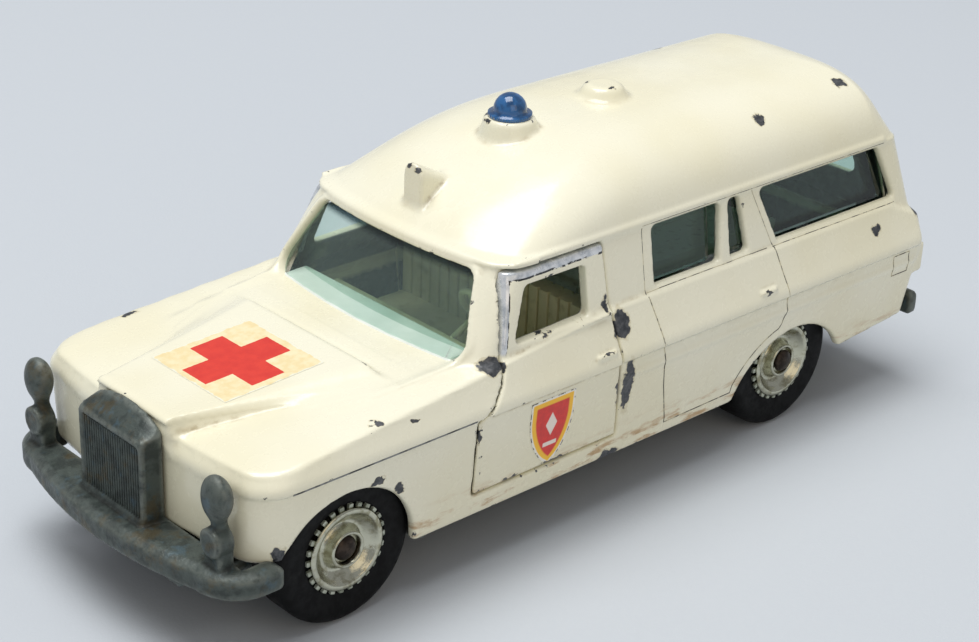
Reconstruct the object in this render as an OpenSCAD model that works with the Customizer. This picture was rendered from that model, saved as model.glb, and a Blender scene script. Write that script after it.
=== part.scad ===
// Toy ambulance, a die-cast car with a high roof.
// The front doors and the tailgate open, the four wheels spin and the base is riveted to the body.
// +X is forward, +Y is the left side of the car, Z = 0 is the ground, sizes in mm.

/* [Body casting] */
// Length of the body casting from nose to tail
body_l = 99; // [96:0.2:102]
// Distance of the nose ahead of the middle of the car
nose_x = 47.4; // [46.4:0.2:48.4]
// Width over the side crease
body_w = 37.8; // [36.8:0.2:40]
// Wall thickness of the painted castings
wall = 1.2; // [1.1:0.05:1.4]
// Height of the lower edge of the sides
sill_z = 6.6; // [6.2:0.1:7]
// Height of the side crease
crease_z = 17.9; // [17.3:0.1:18.5]
// Rise of the deck in front of the windscreen over the crease
cowl_rise = 3.7; // [3.4:0.1:4]
// Rise of the shoulder under the side windows over that deck
belt_rise = 1.8; // [1.5:0.1:2.1]
// Rise of the drip rail over the shoulder
rail_rise = 7.6; // [7.2:0.1:8.6]
// Inward place of the drip rail from the widest line
rail_in = 3.6; // [3.1:0.1:3.9]
// Rise of the roof crown over the drip rail
roof_rise = 7.9; // [6.8:0.1:9.2]
// Inward tuck of the sill below the widest line
sill_tuck = 1.2; // [0.9:0.1:1.5]
// Step in the side just under the crease
crease_step = 0.35; // [0.2:0.05:0.5]
// Inward slope of the shoulder at the tail, at the height of the cowl
shoulder_in = 1.4; // [1.1:0.1:1.7]
// Inward place of the deck edge under the windows
deck_in = 1.95; // [1.8:0.05:2.2]
// Height of the fender edge over the crease
fender_rise = 2.4; // [2.2:0.1:2.7]
// Inward slope of the fender edge
fender_in = 0.7; // [0.4:0.1:0.9]
// Backward slope of the nose above the crease
fender_back = 1; // [0.6:0.1:1.4]
// Length of the rounded front corner along the car
nose_rx = 4.5; // [3.8:0.1:5.2]
// Width of the rounded front corner across the car
nose_ry = 3.6; // [3:0.1:4.2]
// Bow of the nose in plan
nose_bow = 1; // [0.6:0.1:1.4]
// Corner radius of the tail in plan
tail_r = 2.6; // [2:0.1:3.4]
// Forward rake of the tail down to the sill
tail_rake = 1.5; // [1:0.1:2]
// Backward step of the tail just under the crease
tail_step = 0.35; // [0.2:0.05:0.5]
// Front end of the raised shoulder deck
deck_x = 4; // [2:0.5:6]
// Distance of the rear end of the shoulder deck from the tail
deck_tail_in = 4.6; // [3.6:0.2:6]

/* [Hood] */
// Rear edge of the raised hood panel
hood_rear_x = 26.2; // [25.4:0.2:27]
// Width of the raised panel at the nose
hood_front_w = 11.4; // [10.6:0.2:12.4]
// Width of the raised panel at the cowl
hood_rear_w = 18; // [17:0.2:19]
// Rise of the raised panel at the nose over the deck
hood_front_rise = 0.1; // [0:0.05:0.4]
// Rise of the raised panel at the cowl over the deck
hood_rear_rise = 1.1; // [0.8:0.1:1.3]
// Edge radius of the raised panel
hood_r = 0.7; // [0.5:0.1:0.9]

/* [Cabin] */
// Foot of the windscreen on the centre line
screen_x = 22; // [21.6:0.2:22.4]
// Top of the windscreen on the centre line
header_x = 15.2; // [14.6:0.2:15.6]
// Depth below the deck at which the cabin sides start inside the lower body
cabin_root = 1.1; // [0.8:0.1:1.4]
// Inward place of the cabin sides where they start
cabin_in = 1.8; // [1.6:0.05:2]
// Distance of the cabin foot from the tail
cabin_tail_in = 0.3; // [0.2:0.1:0.6]
// Distance of the rear roof edge from the tail
header_tail_in = 2.4; // [1.8:0.2:3.2]
// Bow of the windscreen foot in plan
screen_bow = 1; // [0.8:0.2:1.4]
// Bow of the windscreen top in plan
header_bow = 1; // [0.6:0.2:1.6]
// Corner radius of the cabin in plan
cabin_r = 3.5; // [3:0.1:4]
// Length and width of the rounded windscreen corner
screen_corner = 4.6; // [4.2:0.1:5]
// Overhang of the roof over the cabin sides
eave = 0.15; // [0.1:0.05:0.25]
// Radius of the drip rail bead
rail_r = 0.3; // [0.25:0.05:0.35]
// Straight backward run of the brow up to the crown
brow_lean = 11; // [10:0.5:12]
// Rounded backward run of the brow into the crown
brow_round = 18; // [16:0.5:20]
// Straight forward run of the roof tail up to the crown
tail_lean = 2; // [1.5:0.1:2.5]
// Rounded forward run of the roof tail into the crown
tail_round = 8; // [7:0.5:9]
// Inward run of the roof sides up to the crown
side_lean = 2; // [1.5:0.1:2.5]

/* [Openings in the casting] */
// Rise of the windscreen opening over the deck at its foot
screen_foot_up = 0.5; // [0.4:0.1:0.9]
// Depth of the windscreen opening under the drip rail at its top
screen_top_drop = 0.9; // [0.7:0.1:1.3]
// Inward place of the windscreen opening from the cabin side at its foot
screen_foot_in = 1.9; // [1.7:0.1:2.3]
// Inward place of the windscreen opening from the drip rail at its top
screen_top_in = 3.5; // [3.2:0.1:3.9]
// Corner radius of the windscreen opening
screen_r = 1.6; // [1:0.1:2]
// Rise of the side windows over the shoulder at their foot
window_foot_up = 0.7; // [0.5:0.1:1]
// Depth of the side windows under the drip rail at their top
window_top_drop = 0.6; // [0.4:0.1:1]
// Corner radius of the side windows
window_r = 0.6; // [0.4:0.1:0.9]
// Front edge of the middle side window
mid_window_x = -6.9; // [-7.4:0.1:-6.2]
// Length of the middle side window
mid_window_l = 9.4; // [8.6:0.1:9.8]
// Gap between the middle window and the quarter window
quarter_gap = 2.4; // [2:0.1:2.8]
// Length of the quarter window at its top
quarter_top_l = 1.8; // [1.6:0.1:2.2]
// Length of the quarter window at its foot
quarter_foot_l = 2.9; // [2.4:0.1:3.2]
// Gap between the quarter window and the rear window at the top
rear_gap = 3.3; // [2.9:0.1:3.6]
// Backward slope of the rear window edges
rear_slope = 2.8; // [2.2:0.1:3.2]
// Distance of the rear side window from the tail at its foot
rear_window_in = 5.2; // [4.6:0.2:6.4]
// Front wheel arch radius
front_arch_r = 8.5; // [8.3:0.1:8.8]
// Front wheel arch centre ahead of the axle
front_arch_ahead = 1.1; // [0.6:0.1:1.5]
// Front wheel arch centre below the axle
front_arch_drop = 1.2; // [0.8:0.1:1.6]
// Rear wheel arch radius
rear_arch_r = 10.4; // [9.8:0.1:10.8]
// Rear wheel arch centre ahead of the axle
rear_arch_ahead = 0.6; // [0:0.1:1]
// Rear wheel arch centre below the axle
rear_arch_drop = 5.45; // [5:0.05:5.8]
// Height of the lower body edge at the tail
tail_low_z = 9.1; // [9:0.1:9.4]
// Rise of the lower edge from the rear arch to the tail
tail_rise = 1.3; // [0.8:0.1:1.6]

/* [Doors] */
// Front edge of the door below the crease
door_front_x = 19.5; // [19.3:0.1:19.8]
// Rear edge of the door
door_rear_x = -0.6; // [-0.9:0.1:0.2]
// Height of the sill under the door
door_foot_up = 2.6; // [2.4:0.1:3]
// Depth of the door frame under the drip rail
door_top_drop = 0.5; // [0.4:0.1:0.9]
// Gap round the door in its opening
door_gap = 0.42; // [0.4:0.01:0.5]
// Thickness of the lips on the body and on the door, where the door swings past the body
lip = 0.3; // [0.26:0.01:0.32]
// Forward relief behind the lip of the body
relief = 1; // [0.9:0.05:1.2]
// Backward relief behind the lip of the door
door_step = 0.6; // [0.5:0.05:0.8]
// Lean of the rear door edge towards the top
door_rear_lean = 1.3; // [0.9:0.1:1.6]
// Backward jog of the front edge above the crease
jog = 3.3; // [3:0.1:3.6]
// Backward place of the front edge at the shoulder
pillar_back = 3.9; // [3.7:0.1:4.1]
// Backward place of the front edge at the top
head_back = 5.9; // [5.6:0.1:6.3]
// Foot of the jog below the crease
jog_drop = 0.6; // [0.4:0.1:1]
// Width of the frame in front of the door window
frame_front = 1.9; // [1.6:0.1:2.2]
// Width of the frame behind the door window
frame_rear = 2.6; // [2.2:0.1:3]
// Width of the frame over the door window
frame_top = 0.9; // [0.8:0.1:1.2]
// Depth of the foot of the door window under the shoulder
door_sill_drop = 0.2; // [-0.2:0.1:0.4]
// Length of the door handle
handle_l = 2.8; // [2.2:0.1:3.2]
// Height of the door handle
handle_h = 0.7; // [0.5:0.1:0.9]
// Height of the handle over the crease
handle_up = 1.2; // [0.9:0.1:1.5]

/* [Door hinges] */
// Hinge axis ahead of the front door edge
hinge_ahead = 3.6; // [3.5:0.05:3.8]
// Inward place of the hinge axis from the widest line
hinge_in = 3.3; // [3.2:0.05:3.5]
// Diameter of the hinge pin
hinge_pin_d = 1; // [0.9:0.05:1.1]
// Running clearance on the hinge pin
hinge_play = 0.06; // [0.04:0.01:0.08]
// Foot of the hinge arm
arm_z = 12; // [11.8:0.1:12.2]
// Height of the hinge arm
arm_h = 3.4; // [3:0.1:3.6]
// Thickness of the hinge arm
arm_t = 1.1; // [1:0.05:1.2]
// Outer diameter of the hinge arm eye
eye_d = 2; // [1.9:0.05:2.1]
// Thickness of the clevis lugs on the base
lug_t = 1.5; // [1.3:0.1:1.7]
// Clearance between the arm and each lug
lug_gap = 0.3; // [0.25:0.05:0.4]
// Thickness of the clevis web
web_t = 1.1; // [1:0.1:1.2]
// Width of the clevis across the car
clevis_w = 1.9; // [1.8:0.05:2]

/* [Tailgate] */
// Inward place of the tailgate sides from the widest line
tailgate_in = 4.9; // [4.6:0.1:5.4]
// Inward place of the tailgate sides from the drip rail at the top edge
tailgate_top_in = 4.1; // [3.8:0.1:4.5]
// Lower edge of the tailgate
tailgate_foot_z = 12; // [11.8:0.1:12.6]
// Height of the hinge over the drip rail
tailgate_head = 1.2; // [1:0.05:1.4]
// Depth of the hinge axis under the roof skin
knuckle_in = 0.75; // [0.7:0.05:0.85]
// Diameter of the hinge knuckle
knuckle_d = 1.4; // [1.3:0.05:1.5]
// Gap round the tailgate in its opening
tailgate_gap = 0.35; // [0.3:0.01:0.45]
// Diameter of the tailgate hinge wire
wire_d = 0.7; // [0.6:0.05:0.8]
// Reach of the wire into the body on each side
wire_reach = 1.4; // [1.2:0.1:1.6]
// Clearance of the wire in the body
wire_play = 0.06; // [0.04:0.01:0.08]
// Width of the frame beside the tailgate window
tailgate_frame = 2; // [1.7:0.1:2.7]
// Width of the tailgate handle
tailgate_handle_w = 3.2; // [2.6:0.2:4]

/* [Roof fittings] */
// Place of the beacon along the car
beacon_x = -0.5; // [-1.5:0.1:0.5]
// Rise of the cast beacon boss over the crown
beacon_boss_rise = 0.7; // [0.5:0.1:1.1]
// Foot diameter of the beacon boss
beacon_boss_d = 7; // [6.4:0.1:7.6]
// Top diameter of the beacon boss
beacon_top_d = 5.4; // [5.2:0.1:5.8]
// Depth of the bosses below the roof crown
boss_root = 2.2; // [1.9:0.1:2.4]
// Diameter of the beacon foot ring
beacon_ring_d = 4.7; // [4.4:0.1:5]
// Thickness of the beacon foot ring
beacon_ring_h = 0.4; // [0.3:0.05:0.5]
// Diameter of the beacon dome
beacon_d = 3.6; // [3.2:0.1:4]
// Height of the beacon over its boss
beacon_h = 2.5; // [2.2:0.1:2.9]
// Diameter of the beacon peg
beacon_peg_d = 1.6; // [1.4:0.1:1.8]
// Length of the beacon peg
beacon_peg_l = 1; // [0.8:0.1:1.2]
// Place of the vent along the car
vent_x = -14.4; // [-16:0.2:-13]
// Foot diameter of the vent
vent_d = 6.4; // [5.8:0.1:7]
// Top diameter of the vent
vent_top_d = 4; // [3.6:0.1:4.6]
// Rise of the vent over the crown
vent_rise = 1.4; // [1.1:0.1:1.7]
// Front face of the roof pod
pod_x = 12.9; // [12.5:0.1:13.3]
// Width of the roof pod
pod_w = 3; // [2.7:0.1:3.3]
// Depth of the top of the roof pod under the crown
pod_drop = 1.4; // [1:0.1:1.8]
// Length of the roof pod
pod_l = 4.2; // [3.8:0.1:4.6]

/* [Base casting] */
// Height of the base underside over the ground
base_z = 5.6; // [5.3:0.1:5.7]
// Thickness of the base
base_t = 1.3; // [1.1:0.1:1.4]
// Clearance of the base inside the body walls
base_clear = 0.3; // [0.25:0.05:0.4]
// Clearance of the base from the rear tyres across the car
waist_clear = 1; // [0.9:0.05:1.3]
// Clearance of castings from the tyres along the car
wheel_clear = 0.7; // [0.6:0.1:0.9]
// Thickness of each axle bracket
bracket_t = 2; // [1.6:0.1:2.4]
// Length of each axle bracket
bracket_l = 4.6; // [4:0.1:5]
// Bracket height over the axle centre
bracket_rise = 2.1; // [1.8:0.1:2.2]
// Front of the bumper ahead of the nose
bumper_ahead = 5; // [4.6:0.1:5.4]
// Reach of the front bumper past each side of the body
bumper_past = 0.1; // [0:0.05:0.5]
// Underside of the front bumper
bumper_z = 8.3; // [8:0.1:8.6]
// Height of the front bumper
bumper_h = 2.9; // [2.6:0.1:3.1]
// Bevel along the bumper edges
bumper_bevel = 0.6; // [0.4:0.05:0.8]
// Bow of the bumper in plan
bumper_bow = 1.9; // [1.4:0.1:2.4]
// Length of the bumper corner along the car
bumper_rx = 4.6; // [4:0.1:5.2]
// Width of the bumper corner across the car
bumper_ry = 5; // [4.4:0.1:5.6]
// Thickness of the bumper beside the body
bumper_t = 2; // [1.7:0.1:2.2]
// Depth of the bumper shelf ahead of its inner edge
shelf = 5.2; // [4.8:0.1:5.6]
// Seam between body and bumper
seam = 0.12; // [0.1:0.01:0.2]
// Inward place of the tongues that carry the bumpers from the edge of the base
tongue_in = 1.1; // [0.2:0.1:2]
// Height of the front tongue over the base underside
tongue_h = 4; // [3.6:0.1:4.4]
// Rear face of the rear bumper behind the tail
rear_bumper_out = 0.8; // [0.7:0.05:1]
// Thickness of the rear bumper
rear_bumper_t = 1.2; // [1.1:0.05:1.4]
// Inward place of the rear bumper ends from the widest line
rear_bumper_in = 0.6; // [0.2:0.1:0.9]
// Underside of the rear bumper
rear_bumper_z = 8.2; // [8:0.1:8.4]
// Height of the rear bumper
rear_bumper_h = 3; // [2.8:0.1:3.2]

/* [Radiator and lamps] */
// Front face of the radiator shell ahead of the nose
grille_ahead = 2.7; // [2.4:0.1:3]
// Width of the radiator shell
grille_w = 11.1; // [10.7:0.1:11.6]
// Top of the front face of the shell
grille_front_z = 19.8; // [19.4:0.1:20.2]
// Top of the shell at the hood
grille_top_z = 22.2; // [22:0.1:22.5]
// Shoulder of the arched top
grille_shoulder_z = 19.9; // [19.5:0.1:20.3]
// Width of the frame round the radiator face
grille_frame = 0.7; // [0.5:0.1:0.9]
// Depth of the radiator face behind its frame
grille_depth = 0.5; // [0.4:0.05:0.6]
// Number of slats on the radiator face
slat_count = 9; // [7:1:11]
// Inward place of the lamps from the widest line
lamp_in = 3.9; // [3.6:0.1:4.2]
// Height of the headlamps
lamp_z = 18.2; // [17.8:0.1:18.6]
// Headlamp diameter
lamp_d = 4.1; // [3.8:0.1:4.4]
// Headlamp length over its dome
lamp_l = 2.2; // [2:0.1:2.4]
// Gap between the lamps and the body
lamp_gap = 0.9; // [0.7:0.05:1]
// Height of the fog lamps
fog_z = 13.6; // [13.3:0.1:13.9]
// Fog lamp diameter
fog_d = 2.7; // [2.5:0.1:2.9]
// Fog lamp length
fog_l = 1.7; // [1.5:0.1:1.9]
// Lamp stalk diameter
stalk_d = 1.5; // [1.4:0.1:1.7]

/* [Wheels] */
// Tyre diameter
wheel_d = 16.2; // [15.8:0.1:16.4]
// Place of the front axle along the car
front_axle_x = 34.5; // [34.2:0.1:34.8]
// Distance of the rear axle from the tail
rear_overhang = 21.7; // [21.2:0.1:22.2]
// Inward place of the front tyre faces from the widest line
front_face_in = 2.4; // [2.3:0.1:2.7]
// Inward place of the rear tyre faces from the widest line
rear_face_in = 2.8; // [2.6:0.1:3]
// Tyre width
tyre_w = 5; // [4.7:0.1:5.1]
// Axle diameter
axle_d = 1.8; // [1.7:0.05:1.9]
// Running clearance on the axle
axle_play = 0.05; // [0.03:0.01:0.07]
// Axle head diameter
head_d = 2.6; // [2.4:0.1:2.7]
// Axle head height
head_h = 0.6; // [0.5:0.05:0.7]
// Hub drum diameter inside the tyre
drum_d = 8.2; // [7.8:0.1:8.4]
// Hub bead diameter
bead_d = 8.8; // [8.6:0.1:9]
// Diameter over the hub teeth
teeth_d = 9.6; // [9.4:0.1:9.8]
// Number of hub teeth
teeth_count = 26; // [20:1:32]
// Thickness of the hub teeth
teeth_t = 0.5; // [0.4:0.05:0.6]
// Hub boss diameter
boss_d = 3.9; // [3.7:0.1:4.1]
// Radial gap between hub and tyre
tyre_fit = 0.02; // [0.01:0.01:0.03]

/* [Inside] */
// Gap between the casting and the glazing
glass_gap = 0.15; // [0.12:0.01:0.2]
// Thickness of the glazing
glass_t = 0.8; // [0.7:0.05:0.9]
// Depth of the windscreen face under the body skin
screen_sunk = 0.5; // [0.4:0.05:0.6]
// Depth of the side panes under the body skin
pane_sunk = 0.9; // [0.8:0.05:1]
// Gap between the glazing and the door in its opening
frame_gap = 0.35; // [0.3:0.01:0.4]
// Gap round the panes in their openings
pane_gap = 0.15; // [0.12:0.01:0.2]
// Height of the floor of the tub
floor_z = 10.5; // [10.4:0.1:10.7]
// Thickness of the tub plastic
tub_t = 1; // [0.9:0.1:1.2]
// Inward place of the tub sides in the cab from the widest line
cab_in = 4.4; // [4.1:0.1:4.9]
// Clearance of the tub from the rear tyres
tub_clear = 1.1; // [1:0.1:1.6]
// Front end of the tub
tub_front_x = 16.8; // [16.4:0.1:17.2]
// Distance of the rear end of the tub from the tail
tub_rear_in = 3.6; // [3.2:0.2:4.6]
// Front edge of the seat cushion
seat_front_x = 10.4; // [9.6:0.1:11]
// Length of the seat cushion
seat_l = 8.6; // [8:0.1:9]
// Height of the seat cushion
seat_h = 3.6; // [3.2:0.1:4]
// Height of the seat back over the floor
back_h = 11.6; // [10.6:0.1:12.4]
// Thickness of the seat back
back_t = 2.4; // [2:0.1:2.8]
// Inward place of the seat ends from the tub sides
seat_in = 0.5; // [0.3:0.1:1.5]
// Number of pleats on the seat
pleat_count = 18; // [12:1:22]
// Depth of the pleats
pleat_d = 0.35; // [0.25:0.05:0.45]
// Length of the dashboard
dash_l = 3; // [2.6:0.1:3.4]
// Rear edge of the dashboard
dash_x = 13.2; // [12.8:0.1:13.6]
// Inward place of the dashboard ends from the tub sides
dash_in = 3; // [2.5:0.1:3.5]
// Rise of the dashboard over the deck
dash_rise = 1; // [0.6:0.1:1.2]
// Depth of the dashboard from top to lip
dash_h = 4.6; // [4:0.1:5]
// Steering wheel diameter
steer_d = 6; // [5.4:0.1:6.6]
// Steering wheel rim thickness
steer_t = 0.7; // [0.6:0.05:0.8]
// Inward place of the steering column from the dashboard end
steer_in = 4.5; // [3.9:0.1:5.1]
// Backward lean of the steering column in degrees
steer_lean = 62; // [56:1:68]
// Length of the steering column
steer_l = 3; // [2.8:0.1:3.4]
// Distance of the stretcher from the seat back
stretcher_gap = 12.2; // [10:0.2:14]
// Width of the stretcher
stretcher_w = 9; // [8:0.2:10]
// Thickness of the stretcher bed
stretcher_t = 1.4; // [1.2:0.1:1.6]
// Height of the stretcher legs
stretcher_leg = 2.4; // [2:0.1:2.8]
// Inward place of the stretcher from the right side of the tub
stretcher_in = 0.9; // [0.5:0.1:1.3]

/* [Rivets] */
// Rivet shank diameter
rivet_d = 1.6; // [1.4:0.1:1.8]
// Rivet head diameter
rivet_head_d = 2.8; // [2.6:0.1:3]
// Rivet head height, sunk in the base
rivet_head_h = 0.6; // [0.5:0.05:0.7]
// Rivet length above the base
rivet_l = 3.2; // [3:0.1:3.3]
// Radial gap round the rivets
rivet_gap = 0.05; // [0.04:0.01:0.08]
// Diameter of the body post under the hood
post_d = 3.8; // [3.6:0.1:4.2]
// Place of the body post
post_x = 27.6; // [27:0.1:28.2]
// Distance of the rear cross bar from the tail
rear_lug_ahead = 7.6; // [7:0.1:8.2]
// Length of the rear cross bar along the car
rear_lug_l = 4.2; // [4:0.1:4.6]
// Thickness of the rear cross bar of the body
rear_lug_h = 1.4; // [1.2:0.1:1.5]
// Underside of the rear cross bar
rear_lug_z = 8.9; // [8.8:0.1:9]
// Inward place of the rear rivets from the edge of the base
rear_lug_in = 2.5; // [2.1:0.1:3.1]

/* [Hidden] */
// Names of the parts, and the one that is drawn
$fn = 48;

// Overrun of cuts past the faces they open
over = 1;
// Thickness of the leaves that the rounded forms are drawn between
leaf = 0.04;
// Steps in each rounded plan corner
corner_steps = 6;
// Facets round small cast details
cast_fn = 24;
// Places across the bow of a plan outline
bow_shares = [-0.75, -0.4, 0, 0.4, 0.75];
// Heights of the roof levels between rail and crown
roof_shares = [0, 0.15, 0.3, 0.45, 0.6, 0.72, 0.82, 0.9, 0.96, 0.99];
// Power of the rounded runs of the roof
roof_power = 3;
// Depth to which one cast form is sunk in another
root_share = 0.4;
// Steps along a domed profile
dome_steps = 6;
// Corners of the cranked hinge arm behind and inside the pin, as shares of the hinge distance
arm_shares = [[0, 0], [0.36, 0.53], [1.02, 0.79], [1.45, 0.33]];

cowl_z = crease_z + cowl_rise;
belt_z = cowl_z + belt_rise;
rail_z = belt_z + rail_rise;
roof_z = rail_z + roof_rise;
hood_front_z = cowl_z + hood_front_rise;
hood_rear_z = cowl_z + hood_rear_rise;
cabin_base_z = cowl_z - cabin_root;
screen_foot_z = cowl_z + screen_foot_up;
screen_top_z = rail_z - screen_top_drop;
window_foot_z = belt_z + window_foot_up;
window_top_z = rail_z - window_top_drop;
door_foot_z = sill_z + door_foot_up;
door_top_z = rail_z - door_top_drop;
door_sill_z = belt_z - door_sill_drop;
beacon_boss_z = roof_z + beacon_boss_rise;
vent_z = roof_z + vent_rise;
pod_z = roof_z - pod_drop;
dash_z = cowl_z + dash_rise;
half_w = body_w / 2;
rail_w = body_w - 2 * rail_in;
cabin_w = body_w - 2 * cabin_in;
screen_foot_w = cabin_w - 2 * screen_foot_in;
screen_top_w = rail_w - 2 * screen_top_in;
hinge_y = half_w - hinge_in;
tailgate_w = body_w - 2 * tailgate_in;
tailgate_top_w = rail_w - 2 * tailgate_top_in;
tailgate_window_w = tailgate_top_w - 2 * tailgate_frame;
front_face_y = half_w - front_face_in;
rear_face_y = half_w - rear_face_in;
waist_w = 2 * (rear_face_y - tyre_w - waist_clear);
tongue_w = waist_w - 2 * tongue_in;
bumper_w = body_w + 2 * bumper_past;
rear_bumper_w = body_w - 2 * rear_bumper_in;
lamp_y = half_w - lamp_in;
cab_w = body_w - 2 * cab_in;
tub_w = 2 * (rear_face_y - tyre_w - tub_clear);
seat_w = cab_w - 2 * seat_in;
dash_w = cab_w - 2 * dash_in;
steer_y = dash_w / 2 - steer_in;
stretcher_y = (tub_w - stretcher_w) / 2 - stretcher_in;
rear_lug_y = waist_w / 2 - rear_lug_in;
tail_x = nose_x - body_l;
rear_axle_x = tail_x + rear_overhang;
tub_rear_x = tail_x + tub_rear_in;
rear_lug_x = tail_x + rear_lug_ahead;
back_x = seat_front_x - seat_l - back_t;
stretcher_x = tub_rear_x + wall;
stretcher_l = back_x - stretcher_gap - stretcher_x;
quarter_x = mid_window_x - mid_window_l - quarter_gap;
rear_window_x = quarter_x - quarter_top_l - rear_gap;
rear_window_l = rear_window_x - rear_slope - tail_x - rear_window_in;
cabin_tail_x = tail_x + cabin_tail_in;
header_tail_x = tail_x + header_tail_in;
side_round = rail_w / 2 - side_lean;
axle_z = wheel_d / 2;
bumper_top_z = bumper_z + bumper_h;
base_top_z = base_z + base_t;
hinge_x = door_front_x + hinge_ahead;
web_x = hinge_x + eye_d / 2 + lug_gap;
lug_low_z = arm_z - lug_gap - lug_t;
lug_high_z = arm_z + arm_h + lug_gap;
tailgate_axis_z = rail_z + tailgate_head;
tailgate_top_z = tailgate_axis_z - knuckle_d * root_share / 4;
tailgate_axis_x = header_tail_x - eave + swell(tailgate_head / roof_rise, tail_lean, tail_round) + knuckle_in;
front_arch_x = front_axle_x + front_arch_ahead;
rear_arch_x = rear_axle_x + rear_arch_ahead;
front_wheel_back = front_axle_x - wheel_d / 2 - wheel_clear;
front_wheel_fore = front_axle_x + wheel_d / 2 + wheel_clear;
rear_wheel_fore = rear_axle_x + wheel_d / 2 + wheel_clear;
base_half = half_w - sill_tuck - wall - base_clear;
head_y = front_face_y - head_h / 2;
bumper_front_x = nose_x + bumper_ahead;
bumper_rear_x = front_wheel_fore + wheel_clear / 2;
lamp_x = nose_x - nose_bow + lamp_gap;
glass_in = wall + glass_gap;
door_in_y = hinge_y - wheel_clear - over;

// Points of an arc with two radii about c, from angle a to angle b.
function arc(c, rx, ry, a, b) =
    [for (i = [0 : corner_steps])
        let (t = a + (b - a) * i / corner_steps)
        [c[0] + rx * cos(t), c[1] + ry * sin(t)]];

// Plan outline with a bowed front, rounded front corners and rounded rear corners.
function plan(xf, xr, hw, bow, rx, ry, rr) =
    let (xc = xf - bow - rx, yc = hw - ry)
    concat(
        [for (s = bow_shares) [xf - bow * s * s, s * yc]],
        arc([xc, yc], rx, ry, 0, 90),
        arc([xr + rr, hw - rr], rr, rr, 90, 180),
        arc([xr + rr, rr - hw], rr, rr, 180, 270),
        arc([xc, -yc], rx, ry, 270, 360));

// Run of a roof face at the share s of its height.
function swell(s, lean, round) = lean * s + round * (1 - pow(1 - pow(s, roof_power), 1 / roof_power));

// Profile of a domed end of radius r and height h, from the rim to the axis.
function dome(r, h) = [for (i = [0 : dome_steps]) let (t = 90 * i / dome_steps) [r * cos(t), h * sin(t)]];

module leaf_at(z, outline) {
    translate([0, 0, z]) linear_extrude(leaf) polygon(outline);
}

module body_plan(z, back, rear, tuck, inset) {
    leaf_at(z, plan(nose_x - back - inset, tail_x + rear + inset, half_w - tuck - inset, nose_bow,
        nose_rx - inset, nose_ry - inset, tail_r - inset));
}

module lower_form(inset) {
    hull() {
        body_plan(inset > 0 ? base_z : sill_z, 0, tail_rake, sill_tuck, inset);
        body_plan(crease_z, 0, -tail_step, crease_step, inset);
    }
}

module upper_form(inset) {
    hull() {
        body_plan(crease_z - (inset > 0 ? over : 0), 0, 0, inset > 0 ? crease_step : 0, inset);
        body_plan(crease_z + fender_in, 0, 0, 0, inset);
        body_plan(crease_z + fender_rise - inset, fender_back, 0, fender_in, inset);
        leaf_at(cowl_z - inset, plan(deck_x, tail_x + inset, half_w - shoulder_in - inset, nose_bow,
            nose_rx - inset, nose_ry - inset, tail_r - inset));
        leaf_at(belt_z - leaf - inset, plan(deck_x, tail_x + deck_tail_in, half_w - deck_in - inset, nose_bow,
            nose_rx - inset, nose_ry - inset, tail_r - inset));
    }
}

module hood_form() {
    front_y = hood_front_w / 2 - hood_r;
    rear_y = hood_rear_w / 2 - hood_r;
    front_x = nose_x - hood_r - fender_back * root_share;
    hull() {
        for (m = [-1, 1]) {
            translate([front_x, m * front_y, hood_front_z - hood_r]) sphere(hood_r, $fn = cast_fn / 2);
            translate([hood_rear_x + hood_r, m * rear_y, hood_rear_z - hood_r])
            sphere(hood_r, $fn = cast_fn / 2);
            translate([front_x, m * front_y, crease_z]) sphere(hood_r, $fn = cast_fn / 2);
            translate([hood_rear_x + hood_r, m * rear_y, crease_z + wall]) sphere(hood_r, $fn = cast_fn / 2);
        }
    }
}

module cabin_form(inset) {
    hull() {
        leaf_at(cabin_base_z - inset, plan(screen_x - inset, cabin_tail_x + inset, cabin_w / 2 - inset,
            screen_bow, screen_corner - inset, screen_corner - inset, cabin_r - inset));
        leaf_at(rail_z, plan(header_x - inset, header_tail_x + inset, rail_w / 2 - inset, header_bow,
            cabin_r - inset, cabin_r - inset, cabin_r - inset));
    }
}

module roof_form(inset) {
    rise = roof_rise - inset;
    hull() {
        for (s = roof_shares) {
            hw = rail_w / 2 + eave - swell(s, side_lean, side_round) - inset;
            r = min(cabin_r - inset + swell(s, side_lean, 0) + hw * s / 2, hw * (1 - root_share / 2));
            leaf_at(rail_z - leaf + rise * s, plan(header_x + eave - swell(s, brow_lean, brow_round) - inset,
                header_tail_x - eave + swell(s, tail_lean, tail_round) + inset, hw, header_bow, r, r, r));
        }
    }
}

// The solid outside of the body, or the same form drawn in by an inset.
module casting(inset) {
    lower_form(inset);
    upper_form(inset);
    cabin_form(inset);
    roof_form(inset);
    if (inset == 0) {
        hood_form();
    }
}

module shell() {
    difference() {
        casting(0);
        casting(wall);
    }
}

// Stands a side-view drawing up and runs it across the whole car.
module across() {
    translate([0, half_w + over, 0]) rotate([90, 0, 0]) linear_extrude(body_w + 2 * over) children();
}

// The same on the left side only, from the outside in to the distance y.
module left_side(y) {
    translate([0, half_w + over, 0]) rotate([90, 0, 0]) linear_extrude(half_w + over - y) children();
}

// Stands an end-view drawing up and runs it from x to x + l.
module along(x, l) {
    translate([x, 0, 0]) rotate([90, 0, 90]) linear_extrude(l) children();
}

module rounded(r) {
    offset(r = r) offset(delta = -r) children();
}

module door_plan() {
    rounded(window_r / 2)
    polygon([[door_front_x, door_foot_z], [door_front_x, crease_z - jog_drop],
        [door_front_x - jog / 2, crease_z + jog_drop], [door_front_x - jog, crease_z + fender_rise],
        [door_front_x - pillar_back, cowl_z], [door_front_x - head_back, door_top_z],
        [door_rear_x + door_rear_lean, door_top_z], [door_rear_x, door_foot_z]]);
}

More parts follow.
